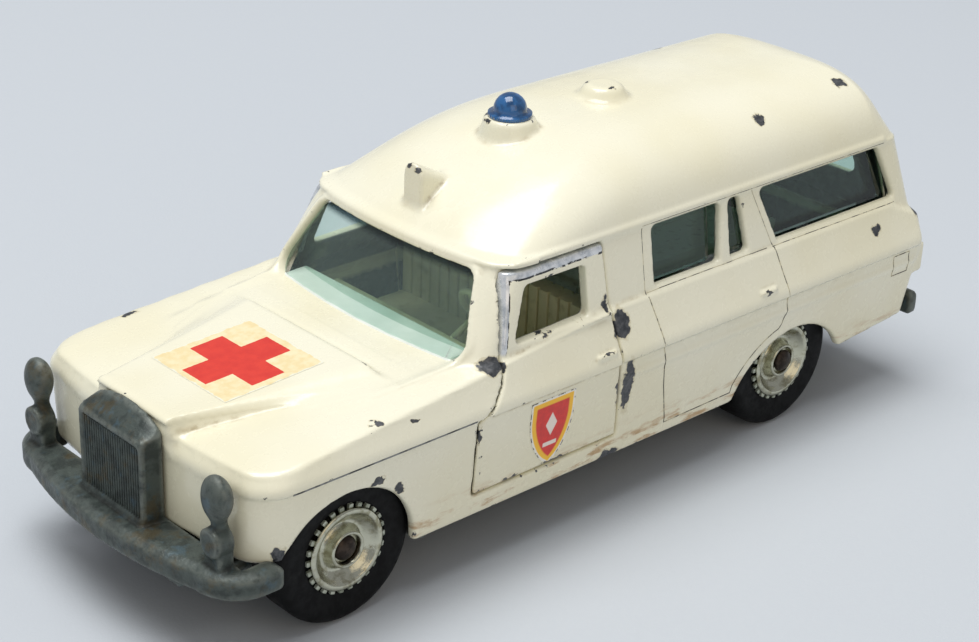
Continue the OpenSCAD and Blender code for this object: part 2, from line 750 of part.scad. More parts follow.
// Room behind the lip for the front edge of the swinging door, up to the cowl.
module relief_plan() {
    intersection() {
        translate([relief, 0]) door_plan();
        translate([door_rear_x, door_foot_z]) square([body_l, cowl_z - door_foot_z]);
    }
}

// Room behind the front edge of the door, up to just under the cowl, so that it clears the lip of the body.
module door_step_plan() {
    intersection() {
        difference() {
            offset(delta = door_gap) door_plan();
            translate([-door_step, 0]) door_plan();
        }
        translate([door_front_x - pillar_back - 2 * door_step, door_foot_z - over])
        square([body_l, cowl_z - jog_drop - door_foot_z + over]);
    }
}

module door_window() {
    rise_share = (door_sill_z - cowl_z) / (door_top_z - cowl_z);
    foot_x = door_front_x - pillar_back - (head_back - pillar_back) * rise_share - frame_front;
    rounded(window_r)
    polygon([[foot_x, door_sill_z],
        [door_front_x - head_back - frame_front, door_top_z - frame_top],
        [door_rear_x + door_rear_lean + frame_rear, door_top_z - frame_top],
        [door_rear_x + door_rear_lean + frame_rear, door_sill_z]]);
}

module side_windows(gap) {
    offset(delta = -gap) {
        rounded(window_r)
        polygon([[mid_window_x, window_foot_z], [mid_window_x, window_top_z],
            [mid_window_x - mid_window_l, window_top_z], [mid_window_x - mid_window_l, window_foot_z]]);
        rounded(window_r)
        polygon([[quarter_x, window_foot_z], [quarter_x, window_top_z],
            [quarter_x - quarter_top_l, window_top_z], [quarter_x - quarter_foot_l, window_foot_z]]);
        rounded(window_r)
        polygon([[rear_window_x - rear_slope, window_foot_z], [rear_window_x, window_top_z],
            [rear_window_x - rear_window_l, window_top_z],
            [rear_window_x - rear_window_l - rear_slope, window_foot_z]]);
    }
}

module screen_plan(gap) {
    offset(delta = -gap) rounded(screen_r)
    polygon([[-screen_foot_w / 2, screen_foot_z], [screen_foot_w / 2, screen_foot_z],
        [screen_top_w / 2, screen_top_z], [-screen_top_w / 2, screen_top_z]]);
}

module tailgate_plan(gap) {
    offset(delta = gap) rounded(window_r)
    polygon([[-tailgate_w / 2, tailgate_foot_z], [tailgate_w / 2, tailgate_foot_z],
        [tailgate_w / 2, crease_z], [tailgate_top_w / 2, tailgate_top_z],
        [-tailgate_top_w / 2, tailgate_top_z], [-tailgate_w / 2, crease_z]]);
}

module tailgate_window() {
    rounded(2 * window_r)
    polygon([[-tailgate_window_w / 2, window_foot_z], [tailgate_window_w / 2, window_foot_z],
        [tailgate_window_w / 2 - wall, window_top_z - frame_top],
        [wall - tailgate_window_w / 2, window_top_z - frame_top]]);
}

// Everything behind the line at which the tailgate is cut off the cabin.
module tail_end() {
    translate([tail_x - over, -half_w, base_z])
    cube([deck_tail_in + over + tail_lean * root_share, body_w, roof_z]);
}

module arches() {
    translate([front_arch_x, axle_z - front_arch_drop]) circle(front_arch_r, $fn = 2 * cast_fn);
    translate([rear_arch_x, axle_z - rear_arch_drop]) circle(rear_arch_r, $fn = 2 * cast_fn);
    translate([front_arch_x, 0]) square([nose_x - front_arch_x + over, bumper_top_z + seam]);
    polygon([[rear_arch_x, 0], [rear_arch_x, tail_low_z - tail_rise * (1 + root_share)],
        [tail_x - over, tail_low_z], [tail_x - over, 0]]);
}

module roof_bosses() {
    translate([beacon_x, 0, roof_z - boss_root])
    cylinder(h = beacon_boss_z - roof_z + boss_root, d1 = beacon_boss_d, d2 = beacon_top_d, $fn = cast_fn);
    translate([vent_x, 0, roof_z - boss_root])
    cylinder(h = vent_z - roof_z + boss_root, d1 = vent_d + boss_root, d2 = vent_top_d, $fn = cast_fn);
    hull() {
        translate([pod_x - leaf, 0, pod_z - pod_w / 2])
        rotate([0, 90, 0]) cylinder(h = leaf, d = pod_w, $fn = cast_fn);
        translate([pod_x - leaf, -pod_w / 2, rail_z + wall]) cube([leaf, pod_w, pod_w]);
        translate([pod_x - pod_l, 0, pod_z - pod_w]) sphere(d = pod_w * (1 - root_share), $fn = cast_fn / 2);
    }
}

module drip_rails() {
    rear_x = header_tail_x + cabin_r + rail_r;
    front_x = door_front_x - head_back - cabin_r * root_share;
    for (m = [-1, 1]) {
        translate([rear_x, m * (rail_w / 2 + eave - rail_r / 2), rail_z + rail_r])
        rotate([0, 90, 0]) cylinder(h = front_x - rear_x, r = rail_r, $fn = cast_fn / 2);
    }
}

module body_posts() {
    translate([post_x, 0, base_top_z]) cylinder(h = cowl_z - base_top_z, d = post_d, $fn = cast_fn);
    translate([rear_lug_x - rear_lug_l / 2, wall - half_w, rear_lug_z])
    cube([rear_lug_l, body_w - 2 * wall, rear_lug_h]);
}

// Places of the three rivets, one at the front and two at the rear.
module rivet_places() {
    translate([post_x, 0, 0]) children();
    translate([rear_lug_x, rear_lug_y, 0]) children();
    translate([rear_lug_x, -rear_lug_y, 0]) children();
}

module body_shell() {
    color([0.93, 0.91, 0.84]) difference() {
        union() {
            shell();
            body_posts();
            drip_rails();
            difference() {
                roof_bosses();
                roof_form(wall);
            }
        }
        across() arches();
        across() side_windows(0);
        along(header_x - pod_l, screen_x - header_x + pod_l + over) screen_plan(0);
        intersection() {
            along(tail_x - over, body_l / 2) tailgate_plan(tailgate_gap);
            tail_end();
        }
        for (m = [0, 1]) {
            mirror([0, m, 0]) {
                left_side(door_in_y) offset(delta = door_gap) door_plan();
                intersection() {
                    casting(lip);
                    left_side(door_in_y) relief_plan();
                }
            }
        }
        translate([tailgate_axis_x, 0, tailgate_axis_z]) rotate([90, 0, 0]) {
            cylinder(h = tailgate_top_w + 2 * tailgate_gap, d = knuckle_d + 2 * tailgate_gap, center = true,
                $fn = cast_fn);
            cylinder(h = tailgate_top_w + 2 * wire_reach + 2 * wire_play, d = wire_d + 2 * wire_play,
                center = true, $fn = cast_fn);
        }
        rivet_places() translate([0, 0, base_z])
        cylinder(h = base_t + rivet_l + rivet_gap, d = rivet_d + 2 * rivet_gap, $fn = cast_fn);
        translate([beacon_x, 0, beacon_boss_z - beacon_peg_l - rivet_gap])
        cylinder(h = roof_rise, d = beacon_peg_d + 2 * rivet_gap, $fn = cast_fn);
    }
}

// Runs of the cranked hinge arm, from the pin to the inside of the door skin.
arm_points = concat([for (s = arm_shares) -hinge_ahead * s],
    [[-hinge_ahead * arm_shares[3][0], half_w - sill_tuck / 2 - wall / 2 - arm_t / 2 - hinge_y]]);

module hinge_arm() {
    translate([hinge_x, hinge_y, arm_z]) linear_extrude(arm_h) difference() {
        union() {
            circle(d = eye_d, $fn = cast_fn);
            for (i = [0 : len(arm_points) - 2]) {
                hull() {
                    translate(arm_points[i]) circle(d = arm_t, $fn = cast_fn / 2);
                    translate(arm_points[i + 1]) circle(d = arm_t, $fn = cast_fn / 2);
                }
            }
        }
        circle(d = hinge_pin_d + 2 * hinge_play, $fn = cast_fn);
    }
}

module left_front_door() {
    color([0.93, 0.91, 0.84]) union() {
        difference() {
            intersection() {
                shell();
                left_side(door_in_y) door_plan();
            }
            left_side(door_in_y) door_window();
            intersection() {
                casting(lip);
                left_side(door_in_y) door_step_plan();
            }
        }
        hinge_arm();
        translate([door_rear_x + frame_rear / 2, half_w - fender_in - wall / 2, crease_z + handle_up])
        cube([handle_l, wall / 2 + fender_in, handle_h]);
    }
}

module right_front_door() {
    mirror([0, 1, 0]) left_front_door();
}

module left_hinge_pin() {
    color([0.7, 0.7, 0.72]) translate([hinge_x, hinge_y, lug_low_z])
    cylinder(h = lug_high_z + lug_t - lug_low_z, d = hinge_pin_d);
}

module right_hinge_pin() {
    mirror([0, 1, 0]) left_hinge_pin();
}

module tailgate() {
    color([0.93, 0.91, 0.84]) difference() {
        union() {
            difference() {
                intersection() {
                    shell();
                    along(tail_x - over, body_l / 2) tailgate_plan(0);
                    tail_end();
                }
                along(tail_x - over, body_l / 2) tailgate_window();
            }
            translate([tailgate_axis_x, 0, tailgate_axis_z]) rotate([90, 0, 0])
            cylinder(h = tailgate_top_w, d = knuckle_d, center = true, $fn = cast_fn);
            translate([tail_x - wall / 2, -tailgate_handle_w / 2, crease_z + handle_up])
            cube([wall, tailgate_handle_w, handle_h]);
        }
        translate([tailgate_axis_x, 0, tailgate_axis_z]) rotate([90, 0, 0])
        cylinder(h = tailgate_top_w + over, d = wire_d + 2 * tyre_fit, center = true, $fn = cast_fn);
    }
}

module tailgate_pin() {
    color([0.7, 0.7, 0.72]) translate([tailgate_axis_x, 0, tailgate_axis_z]) rotate([90, 0, 0])
    cylinder(h = tailgate_top_w + 2 * wire_reach, d = wire_d, center = true);
}

module window_glazing() {
    low_z = cowl_z + wall / 4;
    high_z = rail_z + tailgate_head;
    rear_x = header_tail_x + tail_lean * root_share + wall;
    door_head_z = door_top_z + frame_gap;
    foot_x = door_front_x - pillar_back + 2 * frame_gap;
    head_x = door_front_x - head_back + frame_gap;
    color([0.55, 0.7, 0.66, 0.5]) intersection() {
        translate([rear_x, -half_w, low_z]) cube([body_l, body_w, high_z - low_z]);
        difference() {
            union() {
                cabin_form(glass_in);
                roof_form(glass_in);
                intersection() {
                    cabin_form(screen_sunk);
                    along(header_x - pod_l, screen_x) screen_plan(pane_gap);
                }
                intersection() {
                    cabin_form(pane_sunk);
                    across() side_windows(pane_gap);
                }
            }
            cabin_form(glass_in + glass_t);
            roof_form(glass_in + glass_t);
            across() polygon([[door_rear_x - frame_rear, low_z - over], [foot_x, low_z - over],
                [head_x, door_head_z], [door_rear_x - frame_rear, door_head_z]]);
        }
    }
}

module interior_tub() {
    pleat = seat_w / pleat_count;
    color([0.9, 0.85, 0.68]) difference() {
        union() {
            translate([rear_wheel_fore, -cab_w / 2, floor_z])
            cube([tub_front_x - rear_wheel_fore, cab_w, tub_t]);
            translate([tub_rear_x, -tub_w / 2, floor_z]) cube([tub_front_x - tub_rear_x, tub_w, tub_t]);
            translate([seat_front_x - seat_l, -seat_w / 2, floor_z]) cube([seat_l, seat_w, tub_t + seat_h]);
            translate([back_x, -seat_w / 2, floor_z]) cube([back_t, seat_w, tub_t + back_h]);
            translate([dash_x, -dash_w / 2, dash_z - dash_h]) cube([dash_l, dash_w, dash_h]);
            translate([dash_x + dash_l - tub_t, -dash_w / 2, floor_z])
            cube([tub_t, dash_w, dash_z - floor_z - tub_t]);
        }
        for (i = [1 : pleat_count - 1]) {
            y = i * pleat - seat_w / 2;
            translate([back_x + back_t - pleat_d, y - pleat_d / 2, floor_z + tub_t + seat_h])
            cube([pleat_d + over, pleat_d, back_h]);
            translate([back_x - over, y - pleat_d / 2, floor_z + tub_t + seat_h])
            cube([pleat_d + over, pleat_d, back_h]);
        }
        translate([dash_x, steer_y, dash_z - dash_h / 2]) rotate([0, -steer_lean, 0])
        cylinder(h = steer_l, d = steer_t + 2 * tyre_fit, center = true);
    }
}

module steering_wheel() {
    color([0.9, 0.85, 0.68]) translate([dash_x, steer_y, dash_z - dash_h / 2]) rotate([0, -steer_lean, 0]) {
        translate([0, 0, -steer_l / 2 + tyre_fit]) cylinder(h = steer_l * 2, d = steer_t);
        translate([0, 0, steer_l * 2 - steer_l / 2])
        rotate_extrude() translate([steer_d / 2 - steer_t / 2, 0]) circle(d = steer_t);
        for (a = [0, 120, 240]) {
            rotate([0, 0, a]) translate([0, -steer_t / 2, steer_l * 2 - steer_l / 2 - steer_t / 2])
            cube([steer_d / 2 - steer_t / 2, steer_t, steer_t / 2]);
        }
    }
}

module stretcher() {
    bed_z = floor_z + tub_t + stretcher_leg;
    color([0.95, 0.94, 0.9]) translate([stretcher_x, -stretcher_y, 0]) {
        translate([0, -stretcher_w / 2, bed_z]) cube([stretcher_l, stretcher_w, stretcher_t]);
        for (s = [root_share / 2, 1 - root_share / 2]) {
            translate([stretcher_l * s - stretcher_t / 2, -stretcher_w / 2, floor_z + tub_t])
            cube([stretcher_t, stretcher_w, stretcher_leg]);
        }
        translate([stretcher_l * (1 - root_share / 2), -stretcher_w * root_share, bed_z + stretcher_t])
        cube([stretcher_l * root_share / 2 - stretcher_t, 2 * stretcher_w * root_share, stretcher_t / 2]);
        for (m = [-1, 1]) {
            translate([0, m * (stretcher_w / 2 - stretcher_t / 4) - stretcher_t / 4, bed_z + stretcher_t])
            cube([stretcher_l, stretcher_t / 2, stretcher_t / 2]);
        }
    }
}

module roof_beacon() {
    ring_r = beacon_ring_d / 2;
    dome_r = beacon_d / 2;
    dome_h = beacon_h - beacon_ring_h;
    flat_h = dome_h - dome_r;
    color([0.12, 0.3, 0.75]) translate([beacon_x, 0, beacon_boss_z]) {
        rotate_extrude() polygon(concat([[0, -beacon_peg_l], [beacon_peg_d / 2, -beacon_peg_l],
            [beacon_peg_d / 2, 0], [ring_r, 0], [ring_r, beacon_ring_h], [dome_r, beacon_ring_h]],
            [for (p = dome(dome_r, dome_r)) [p[0], beacon_ring_h + flat_h + p[1]]]));
    }
}

// Ring of square teeth that shows between the hub bead and the tyre.
module hub_teeth() {
    step = 360 / teeth_count;
    root_r = bead_d / 2 * (1 - tyre_fit);
    polygon([for (i = [0 : teeth_count - 1], k = [0 : 3])
        let (a = step * (i + k / 4), r = k < 2 ? teeth_d / 2 : root_r)
        [r * cos(a), r * sin(a)]]);
}

// Hub about its own axis, outer face of the tyre at 0 and outside upwards.
module hub() {
    drum_r = drum_d / 2;
    bead_r = bead_d / 2;
    boss_r = boss_d / 2;
    bore_r = axle_d / 2 + axle_play;
    cup_r = head_d / 2 + 3 * axle_play;
    color([0.75, 0.74, 0.68]) union() {
        rotate_extrude() polygon([[bore_r, -tyre_w], [boss_r, -tyre_w], [boss_r, teeth_t - tyre_w],
            [drum_r, teeth_t - tyre_w], [drum_r, -teeth_t], [bead_r, -teeth_t],
            [bead_r, teeth_t / 4], [bead_r - teeth_t, teeth_t / 2], [bead_r - 2 * teeth_t, -teeth_t],
            [boss_r + teeth_t, -2 * teeth_t], [boss_r, -teeth_t], [boss_r, head_h / 2],
            [cup_r, head_h / 2], [cup_r, -head_h / 2 - axle_play], [bore_r, -head_h / 2 - axle_play]]);
        translate([0, 0, -teeth_t]) linear_extrude(teeth_t) difference() {
            hub_teeth();
            circle(bead_r - teeth_t / 2);
        }
    }
}

// Tyre about the same axis as its hub.
module tyre() {
    tyre_r = wheel_d / 2;
    seat_r = teeth_d / 2 + tyre_fit;
    drum_r = drum_d / 2 + tyre_fit;
    crown = tyre_r - seat_r;
    color([0.06, 0.06, 0.06]) rotate_extrude() polygon([[drum_r, -tyre_w], [seat_r, -tyre_w],
        [seat_r + crown / 2, -tyre_w], [tyre_r - crown / 8, teeth_t - tyre_w],
        [tyre_r, 2 * teeth_t - tyre_w], [tyre_r, -2 * teeth_t], [tyre_r - crown / 8, -teeth_t],
        [seat_r + crown / 2, 0], [seat_r, -teeth_t / 4], [seat_r, -teeth_t - tyre_fit],
        [drum_r, -teeth_t - tyre_fit]]);
}

// Puts a wheel piece on the axle at x, left for m = 1 and right for m = -1.
module wheel_at(x, y, m) {
    translate([x, m * y, axle_z]) rotate([-90 * m, 0, 0]) children();
}

module front_left_hub() {
    wheel_at(front_axle_x, front_face_y, 1) hub();
}

module front_right_hub() {
    wheel_at(front_axle_x, front_face_y, -1) hub();
}

module rear_left_hub() {
    wheel_at(rear_axle_x, rear_face_y, 1) hub();
}

module rear_right_hub() {
    wheel_at(rear_axle_x, rear_face_y, -1) hub();
}

module front_left_tyre() {
    wheel_at(front_axle_x, front_face_y, 1) tyre();
}

module front_right_tyre() {
    wheel_at(front_axle_x, front_face_y, -1) tyre();
}

module rear_left_tyre() {
    wheel_at(rear_axle_x, rear_face_y, 1) tyre();
}

module rear_right_tyre() {
    wheel_at(rear_axle_x, rear_face_y, -1) tyre();
}

module axle(x) {
    head_r = head_d / 2;
    color([0.55, 0.5, 0.44]) translate([x, 0, axle_z]) rotate([90, 0, 0])
    rotate_extrude() polygon(concat([[0, -head_y - head_h]],
        [for (i = [dome_steps - 1 : -1 : 0]) let (p = dome(head_r, head_h)[i]) [p[0], -head_y - p[1]]],
        [[axle_d / 2, -head_y], [axle_d / 2, head_y]],
        [for (p = dome(head_r, head_h)) [p[0], head_y + p[1]]]));
}

module front_axle() {
    axle(front_axle_x);
}

module rear_axle() {
    axle(rear_axle_x);
}

module base_rivets() {
    color([0.6, 0.6, 0.6]) rivet_places() translate([0, 0, base_z]) {
        cylinder(h = rivet_head_h, d = rivet_head_d);
        cylinder(h = base_t + rivet_l, d = rivet_d);
    }
}

module bumper_plan(z, h, inset) {
    translate([0, 0, z]) linear_extrude(h)
    polygon(plan(bumper_front_x - inset, bumper_rear_x + inset, bumper_w / 2 - inset, bumper_bow,
        bumper_rx - inset, bumper_ry - inset, bumper_bevel));
}

module front_bumper() {
    difference() {
        hull() {
            bumper_plan(bumper_z, bumper_h, bumper_bevel);
            bumper_plan(bumper_z + bumper_bevel, bumper_h - 2 * bumper_bevel, 0);
        }
        translate([bumper_rear_x - over, bumper_t - bumper_w / 2, bumper_z - over])
        cube([bumper_front_x - shelf - bumper_rear_x + over, bumper_w - 2 * bumper_t, bumper_h + 2 * over]);
    }
    translate([front_wheel_fore - wheel_clear, -tongue_w / 2, base_z])
    cube([bumper_front_x - shelf - front_wheel_fore + 2 * wheel_clear, tongue_w, tongue_h]);
}

module radiator() {
    back_x = nose_x + seam;
    front_x = nose_x + grille_ahead;
    root_z = bumper_top_z - bumper_bevel;
    top = grille_top_z - grille_shoulder_z;
    face_h = grille_front_z - root_z - bumper_bevel - 2 * grille_frame;
    pitch = face_h / slat_count;
    difference() {
        hull() {
            along(front_x - leaf, leaf) translate([grille_frame / 2 - grille_w / 2, root_z])
            square([grille_w - grille_frame, grille_front_z - root_z]);
            along(back_x, leaf) {
                translate([-grille_w / 2, root_z]) square([grille_w, grille_shoulder_z - root_z]);
                translate([0, grille_shoulder_z]) scale([1, 2 * top / grille_w])
                circle(d = grille_w, $fn = cast_fn);
            }
        }
        translate([front_x - grille_depth, 3 * grille_frame / 2 - grille_w / 2,
            root_z + bumper_bevel + grille_frame])
        cube([grille_depth + over, grille_w - 3 * grille_frame, face_h]);
    }
    for (i = [0 : slat_count - 1]) {
        translate([front_x - grille_depth - leaf, grille_frame - grille_w / 2,
            root_z + bumper_bevel + grille_frame + pitch * (i + root_share)])
        cube([grille_depth / 2, grille_w - 2 * grille_frame, pitch * root_share]);
    }
}

module lamps() {
    for (m = [-1, 1]) {
        translate([lamp_x + lamp_l * root_share, m * lamp_y, bumper_top_z - bumper_bevel])
        cylinder(h = lamp_z - bumper_top_z + bumper_bevel, d = stalk_d);
        translate([lamp_x, m * lamp_y, lamp_z]) rotate([0, 90, 0])
        rotate_extrude() polygon(concat([[0, 0], [lamp_d / 2 * (1 - root_share), 0],
            [lamp_d / 2, lamp_l / 3]], [for (p = dome(lamp_d / 2, lamp_l / 2)) [p[0], lamp_l / 2 + p[1]]]));
        translate([lamp_x, m * lamp_y, fog_z]) rotate([0, 90, 0]) cylinder(h = fog_l, d = fog_d);
    }
}

module rear_bumper() {
    rear_x = tail_x - rear_bumper_out;
    translate([rear_x, -rear_bumper_w / 2, rear_bumper_z])
    cube([rear_bumper_t, rear_bumper_w, rear_bumper_h]);
    translate([rear_x, -tongue_w / 2, base_z]) cube([2 * tail_r, tongue_w, tail_low_z - base_z - base_clear]);
}

// Side view of the clevis that holds one door hinge pin.
module clevis_plan() {
    translate([web_x, base_z]) square([web_t, lug_high_z + lug_t - base_z]);
    for (z = [lug_low_z, lug_high_z]) {
        translate([hinge_x - eye_d / 2, z]) square([web_x - hinge_x + eye_d / 2 + web_t, lug_t]);
    }
}

module base_casting() {
    tail_end_x = tail_x + tail_r / 2;
    color([0.5, 0.5, 0.47]) difference() {
        union() {
            translate([0, 0, base_z]) linear_extrude(base_t) {
                translate([tail_end_x, -waist_w / 2]) square([front_wheel_fore - tail_end_x, waist_w]);
                translate([rear_wheel_fore, -base_half])
                square([front_wheel_back - rear_wheel_fore, 2 * base_half]);
                translate([web_x, -hinge_y]) square([web_t, 2 * hinge_y]);
            }
            for (x = [front_axle_x, rear_axle_x], m = [-1, 1]) {
                translate([x - bracket_l / 2, m * (waist_w - bracket_t) / 2 - bracket_t / 2, base_z])
                cube([bracket_l, bracket_t, axle_z + bracket_rise - base_z]);
            }
            for (m = [-1, 1]) {
                translate([0, m * hinge_y + clevis_w / 2, 0]) rotate([90, 0, 0])
                linear_extrude(clevis_w) clevis_plan();
            }
            for (m = [-1, 1]) {
                translate([rear_lug_x, m * rear_lug_y, base_z]) cylinder(h = rear_lug_z - base_z, d = post_d);
            }
            front_bumper();
            radiator();
            lamps();
            rear_bumper();
        }
        for (x = [front_axle_x, rear_axle_x]) {
            translate([x, 0, axle_z]) rotate([90, 0, 0])
            cylinder(h = waist_w + over, d = axle_d + 2 * axle_play, center = true);
        }
        for (m = [-1, 1]) {
            translate([hinge_x, m * hinge_y, lug_low_z - over])
            cylinder(h = lug_high_z + lug_t - lug_low_z + 2 * over, d = hinge_pin_d);
        }
        rivet_places() translate([0, 0, base_z - over]) {
            cylinder(h = rivet_head_h + over, d = rivet_head_d + 2 * rivet_gap);
            cylinder(h = rear_lug_z - base_z + 2 * over, d = rivet_d + 2 * rivet_gap);
        }
    }
}

body_shell();
base_casting();
left_front_door();
right_front_door();
left_hinge_pin();
right_hinge_pin();
tailgate();
tailgate_pin();
window_glazing();
interior_tub();
steering_wheel();
stretcher();
roof_beacon();
front_left_hub();
front_right_hub();
rear_left_hub();
rear_right_hub();
front_left_tyre();
front_right_tyre();
rear_left_tyre();
rear_right_tyre();
front_axle();
rear_axle();
base_rivets();
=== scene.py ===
import math
from functools import partial
from itertools import product

import bpy
import numpy as np
from mathutils import Matrix, Vector
from mathutils.bvhtree import BVHTree


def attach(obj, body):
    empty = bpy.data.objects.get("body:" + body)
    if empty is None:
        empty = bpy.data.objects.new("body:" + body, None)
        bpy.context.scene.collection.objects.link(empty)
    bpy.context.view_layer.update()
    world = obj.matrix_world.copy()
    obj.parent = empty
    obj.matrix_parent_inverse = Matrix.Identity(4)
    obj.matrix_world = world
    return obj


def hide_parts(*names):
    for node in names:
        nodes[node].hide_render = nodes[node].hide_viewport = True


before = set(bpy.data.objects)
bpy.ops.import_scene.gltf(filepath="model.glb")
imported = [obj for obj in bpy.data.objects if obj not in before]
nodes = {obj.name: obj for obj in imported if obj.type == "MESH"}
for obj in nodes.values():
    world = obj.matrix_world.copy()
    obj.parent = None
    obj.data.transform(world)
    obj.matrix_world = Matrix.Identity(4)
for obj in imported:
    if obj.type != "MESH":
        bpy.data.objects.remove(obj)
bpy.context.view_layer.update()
print("frame loaded:", len(nodes), "nodes")

# all piece sizes are in millimetres, as on a drawing, and become metres in makeMesh
mm = 0.001

# camera, fitted to the edges of the car in the photograph
view = dict(place=(141.98, 148.32, 113.63), ahead=(-0.62134, -0.65496, -0.43008),
            roll=2.27, focalPixels=2076.8, imageWidth=979, sensor=36)


def linked(name, data):
    obj = bpy.data.objects.new(name, data)
    bpy.context.scene.collection.objects.link(obj)
    return obj


def addCamera():
    ahead = Vector(view["ahead"]).normalized()
    right = ahead.cross(Vector((0, 0, 1))).normalized()
    up = right.cross(ahead)
    turn = math.radians(view["roll"])
    rolledRight = right * math.cos(turn) + up * math.sin(turn)
    rolledUp = up * math.cos(turn) - right * math.sin(turn)
    data = bpy.data.cameras.new("camera")
    data.sensor_fit = "HORIZONTAL"
    data.sensor_width = view["sensor"]
    data.lens = view["sensor"] * view["focalPixels"] / view["imageWidth"]
    data.clip_start = 0.01
    camera = linked("camera", data)
    turned = Matrix((rolledRight, rolledUp, -ahead)).transposed().to_4x4()
    camera.matrix_world = Matrix.Translation(Vector(view["place"]) * mm) @ turned
    bpy.context.scene.camera = camera


addCamera()
print("camera placed")


# node helpers

def hexColor(code):
    parts = [int(code[i:i + 2], 16) / 255 for i in (1, 3, 5)]
    return tuple(c / 12.92 if c <= 0.04045 else ((c + 0.055) / 1.055) ** 2.4 for c in parts) + (1.0,)


def put(tree, kind, settings=None, inputs=None, out=0):
    # a short kind is a shader node; settings are attributes or one operation, inputs are values or sockets
    # to link from, and out None gives the node itself
    made = tree.nodes.new(kind if "Node" in kind else "ShaderNode" + kind)
    for key, value in ({"operation": settings} if isinstance(settings, str) else settings or {}).items():
        setattr(made, key, value)
    for key, value in (inputs.items() if isinstance(inputs, dict) else enumerate(inputs or ())):
        socket = made.inputs[key]
        if isinstance(value, bpy.types.NodeSocket):
            tree.links.new(value, socket)
        else:
            socket.default_value = value
    return made if out is None or not made.outputs else made.outputs[out]


# mesh helpers

def smooth(mesh, angle=None):
    mesh.polygons.foreach_set("use_smooth", [True] * len(mesh.polygons))
    if angle:
        mesh.set_sharp_from_angle(angle=math.radians(angle))


def makeMesh(name, points, faces, edges=()):
    mesh = bpy.data.meshes.new(name)
    mesh.from_pydata((np.asarray(points, dtype=float) * mm).tolist(), edges, [list(map(int, f)) for f in faces])
    smooth(mesh)
    mesh.update()
    return linked(name, mesh)


def addMark(mesh, label, kind, key, values):
    mesh.attributes.new(label, kind, "POINT").data.foreach_set(key, values)


def bakeModifiers(piece):
    # the evaluated shape becomes the piece's own plain mesh
    graph = bpy.context.evaluated_depsgraph_get()
    mesh = bpy.data.meshes.new_from_object(piece.evaluated_get(graph))
    piece.modifiers.clear()
    old = piece.data
    piece.data = mesh
    mesh.name = piece.name
    bpy.data.meshes.remove(old)


def wear(piece, material, body, slot, *replaced):
    piece.data.materials.clear()
    piece.data.materials.append(material)
    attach(piece, body)
    if replaced:
        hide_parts(*replaced)


# distance fields: the castings are drawn as smooth fields and skinned, so every edge is soft as under paint

def blendMin(a, b, k):
    h = np.maximum(k - np.abs(a - b), 0) / k
    return np.minimum(a, b) - h * h * k / 4


def blendMax(a, b, k):
    return -blendMin(-a, -b, k)


def between(v, low, high):
    return np.maximum(low - v, v - high)


def toDistance(field, step):
    # a level function becomes a distance close to its surface
    gx, gy, gz = np.gradient(field, step)
    return field / np.maximum(np.sqrt(gx * gx + gy * gy + gz * gz), 0.2)


def insetOutline(points, r):
    pts = np.asarray(points, dtype=float)
    turn = np.sum(pts[:, 0] * np.roll(pts[:, 1], -1) - np.roll(pts[:, 0], -1) * pts[:, 1])
    if turn < 0:
        pts = pts[::-1]
    out = []
    for i in range(len(pts)):
        a, b, c = pts[i - 1], pts[i], pts[(i + 1) % len(pts)]
        d1 = (b - a) / np.linalg.norm(b - a)
        d2 = (c - b) / np.linalg.norm(c - b)
        n1 = np.array([-d1[1], d1[0]])
        n2 = np.array([-d2[1], d2[0]])
        out.append(b + (n1 + n2) * r / (1 + np.dot(n1, n2)))
    return out


def runShare(u, v, a, e):
    # how far along the run from a by e the nearest place lies
    return np.clip(((u - a[0]) * e[0] + (v - a[1]) * e[1]) / (e[0] ** 2 + e[1] ** 2), 0, 1)


def outlineField(u, v, points, r=0.0):
    # signed distance to a closed outline with corners rounded to r
    pts = insetOutline(points, r)
    best = np.full(np.broadcast(u, v).shape, 1e9)
    side = np.ones_like(best)
    for i in range(len(pts)):
        a, b = pts[i], pts[i - 1]
        e = b - a
        wu, wv = u - a[0], v - a[1]
        t = runShare(u, v, a, e)
        best = np.minimum(best, (wu - e[0] * t) ** 2 + (wv - e[1] * t) ** 2)
        c1, c2, c3 = v >= a[1], v < b[1], e[0] * wv > e[1] * wu
        side = np.where((c1 & c2 & c3) | (~c1 & ~c2 & ~c3), -side, side)
    return side * np.sqrt(best) - r


def boxField(x, y, z, low, high, r=0.0):
    q = [np.abs(v - (a + b) / 2) - (b - a) / 2 + r for v, a, b in zip((x, y, z), low, high)]
    out = np.sqrt(sum(np.maximum(v, 0) ** 2 for v in q))
    return out + np.minimum(np.maximum(q[0], np.maximum(q[1], q[2])), 0) - r


def boxesField(x, y, z, boxes, r):
    return np.minimum.reduce([boxField(x, y, z, low, high, r) for low, high in boxes])


def rodField(x, y, z, start, end, atY, atZ, r):
    # round-ended rod along the car
    return np.sqrt(np.maximum(between(x, start, end), 0) ** 2 + (y - atY) ** 2 + (z - atZ) ** 2) - r


def frustumField(x, y, z, cx, low, high, rLow, rHigh):
    slope = (rLow - rHigh) / (high - low)
    side = (np.hypot(x - cx, y) - rHigh - slope * (high - z)) / math.hypot(1, slope)
    return blendMax(side, between(z, low, high), 0.5)


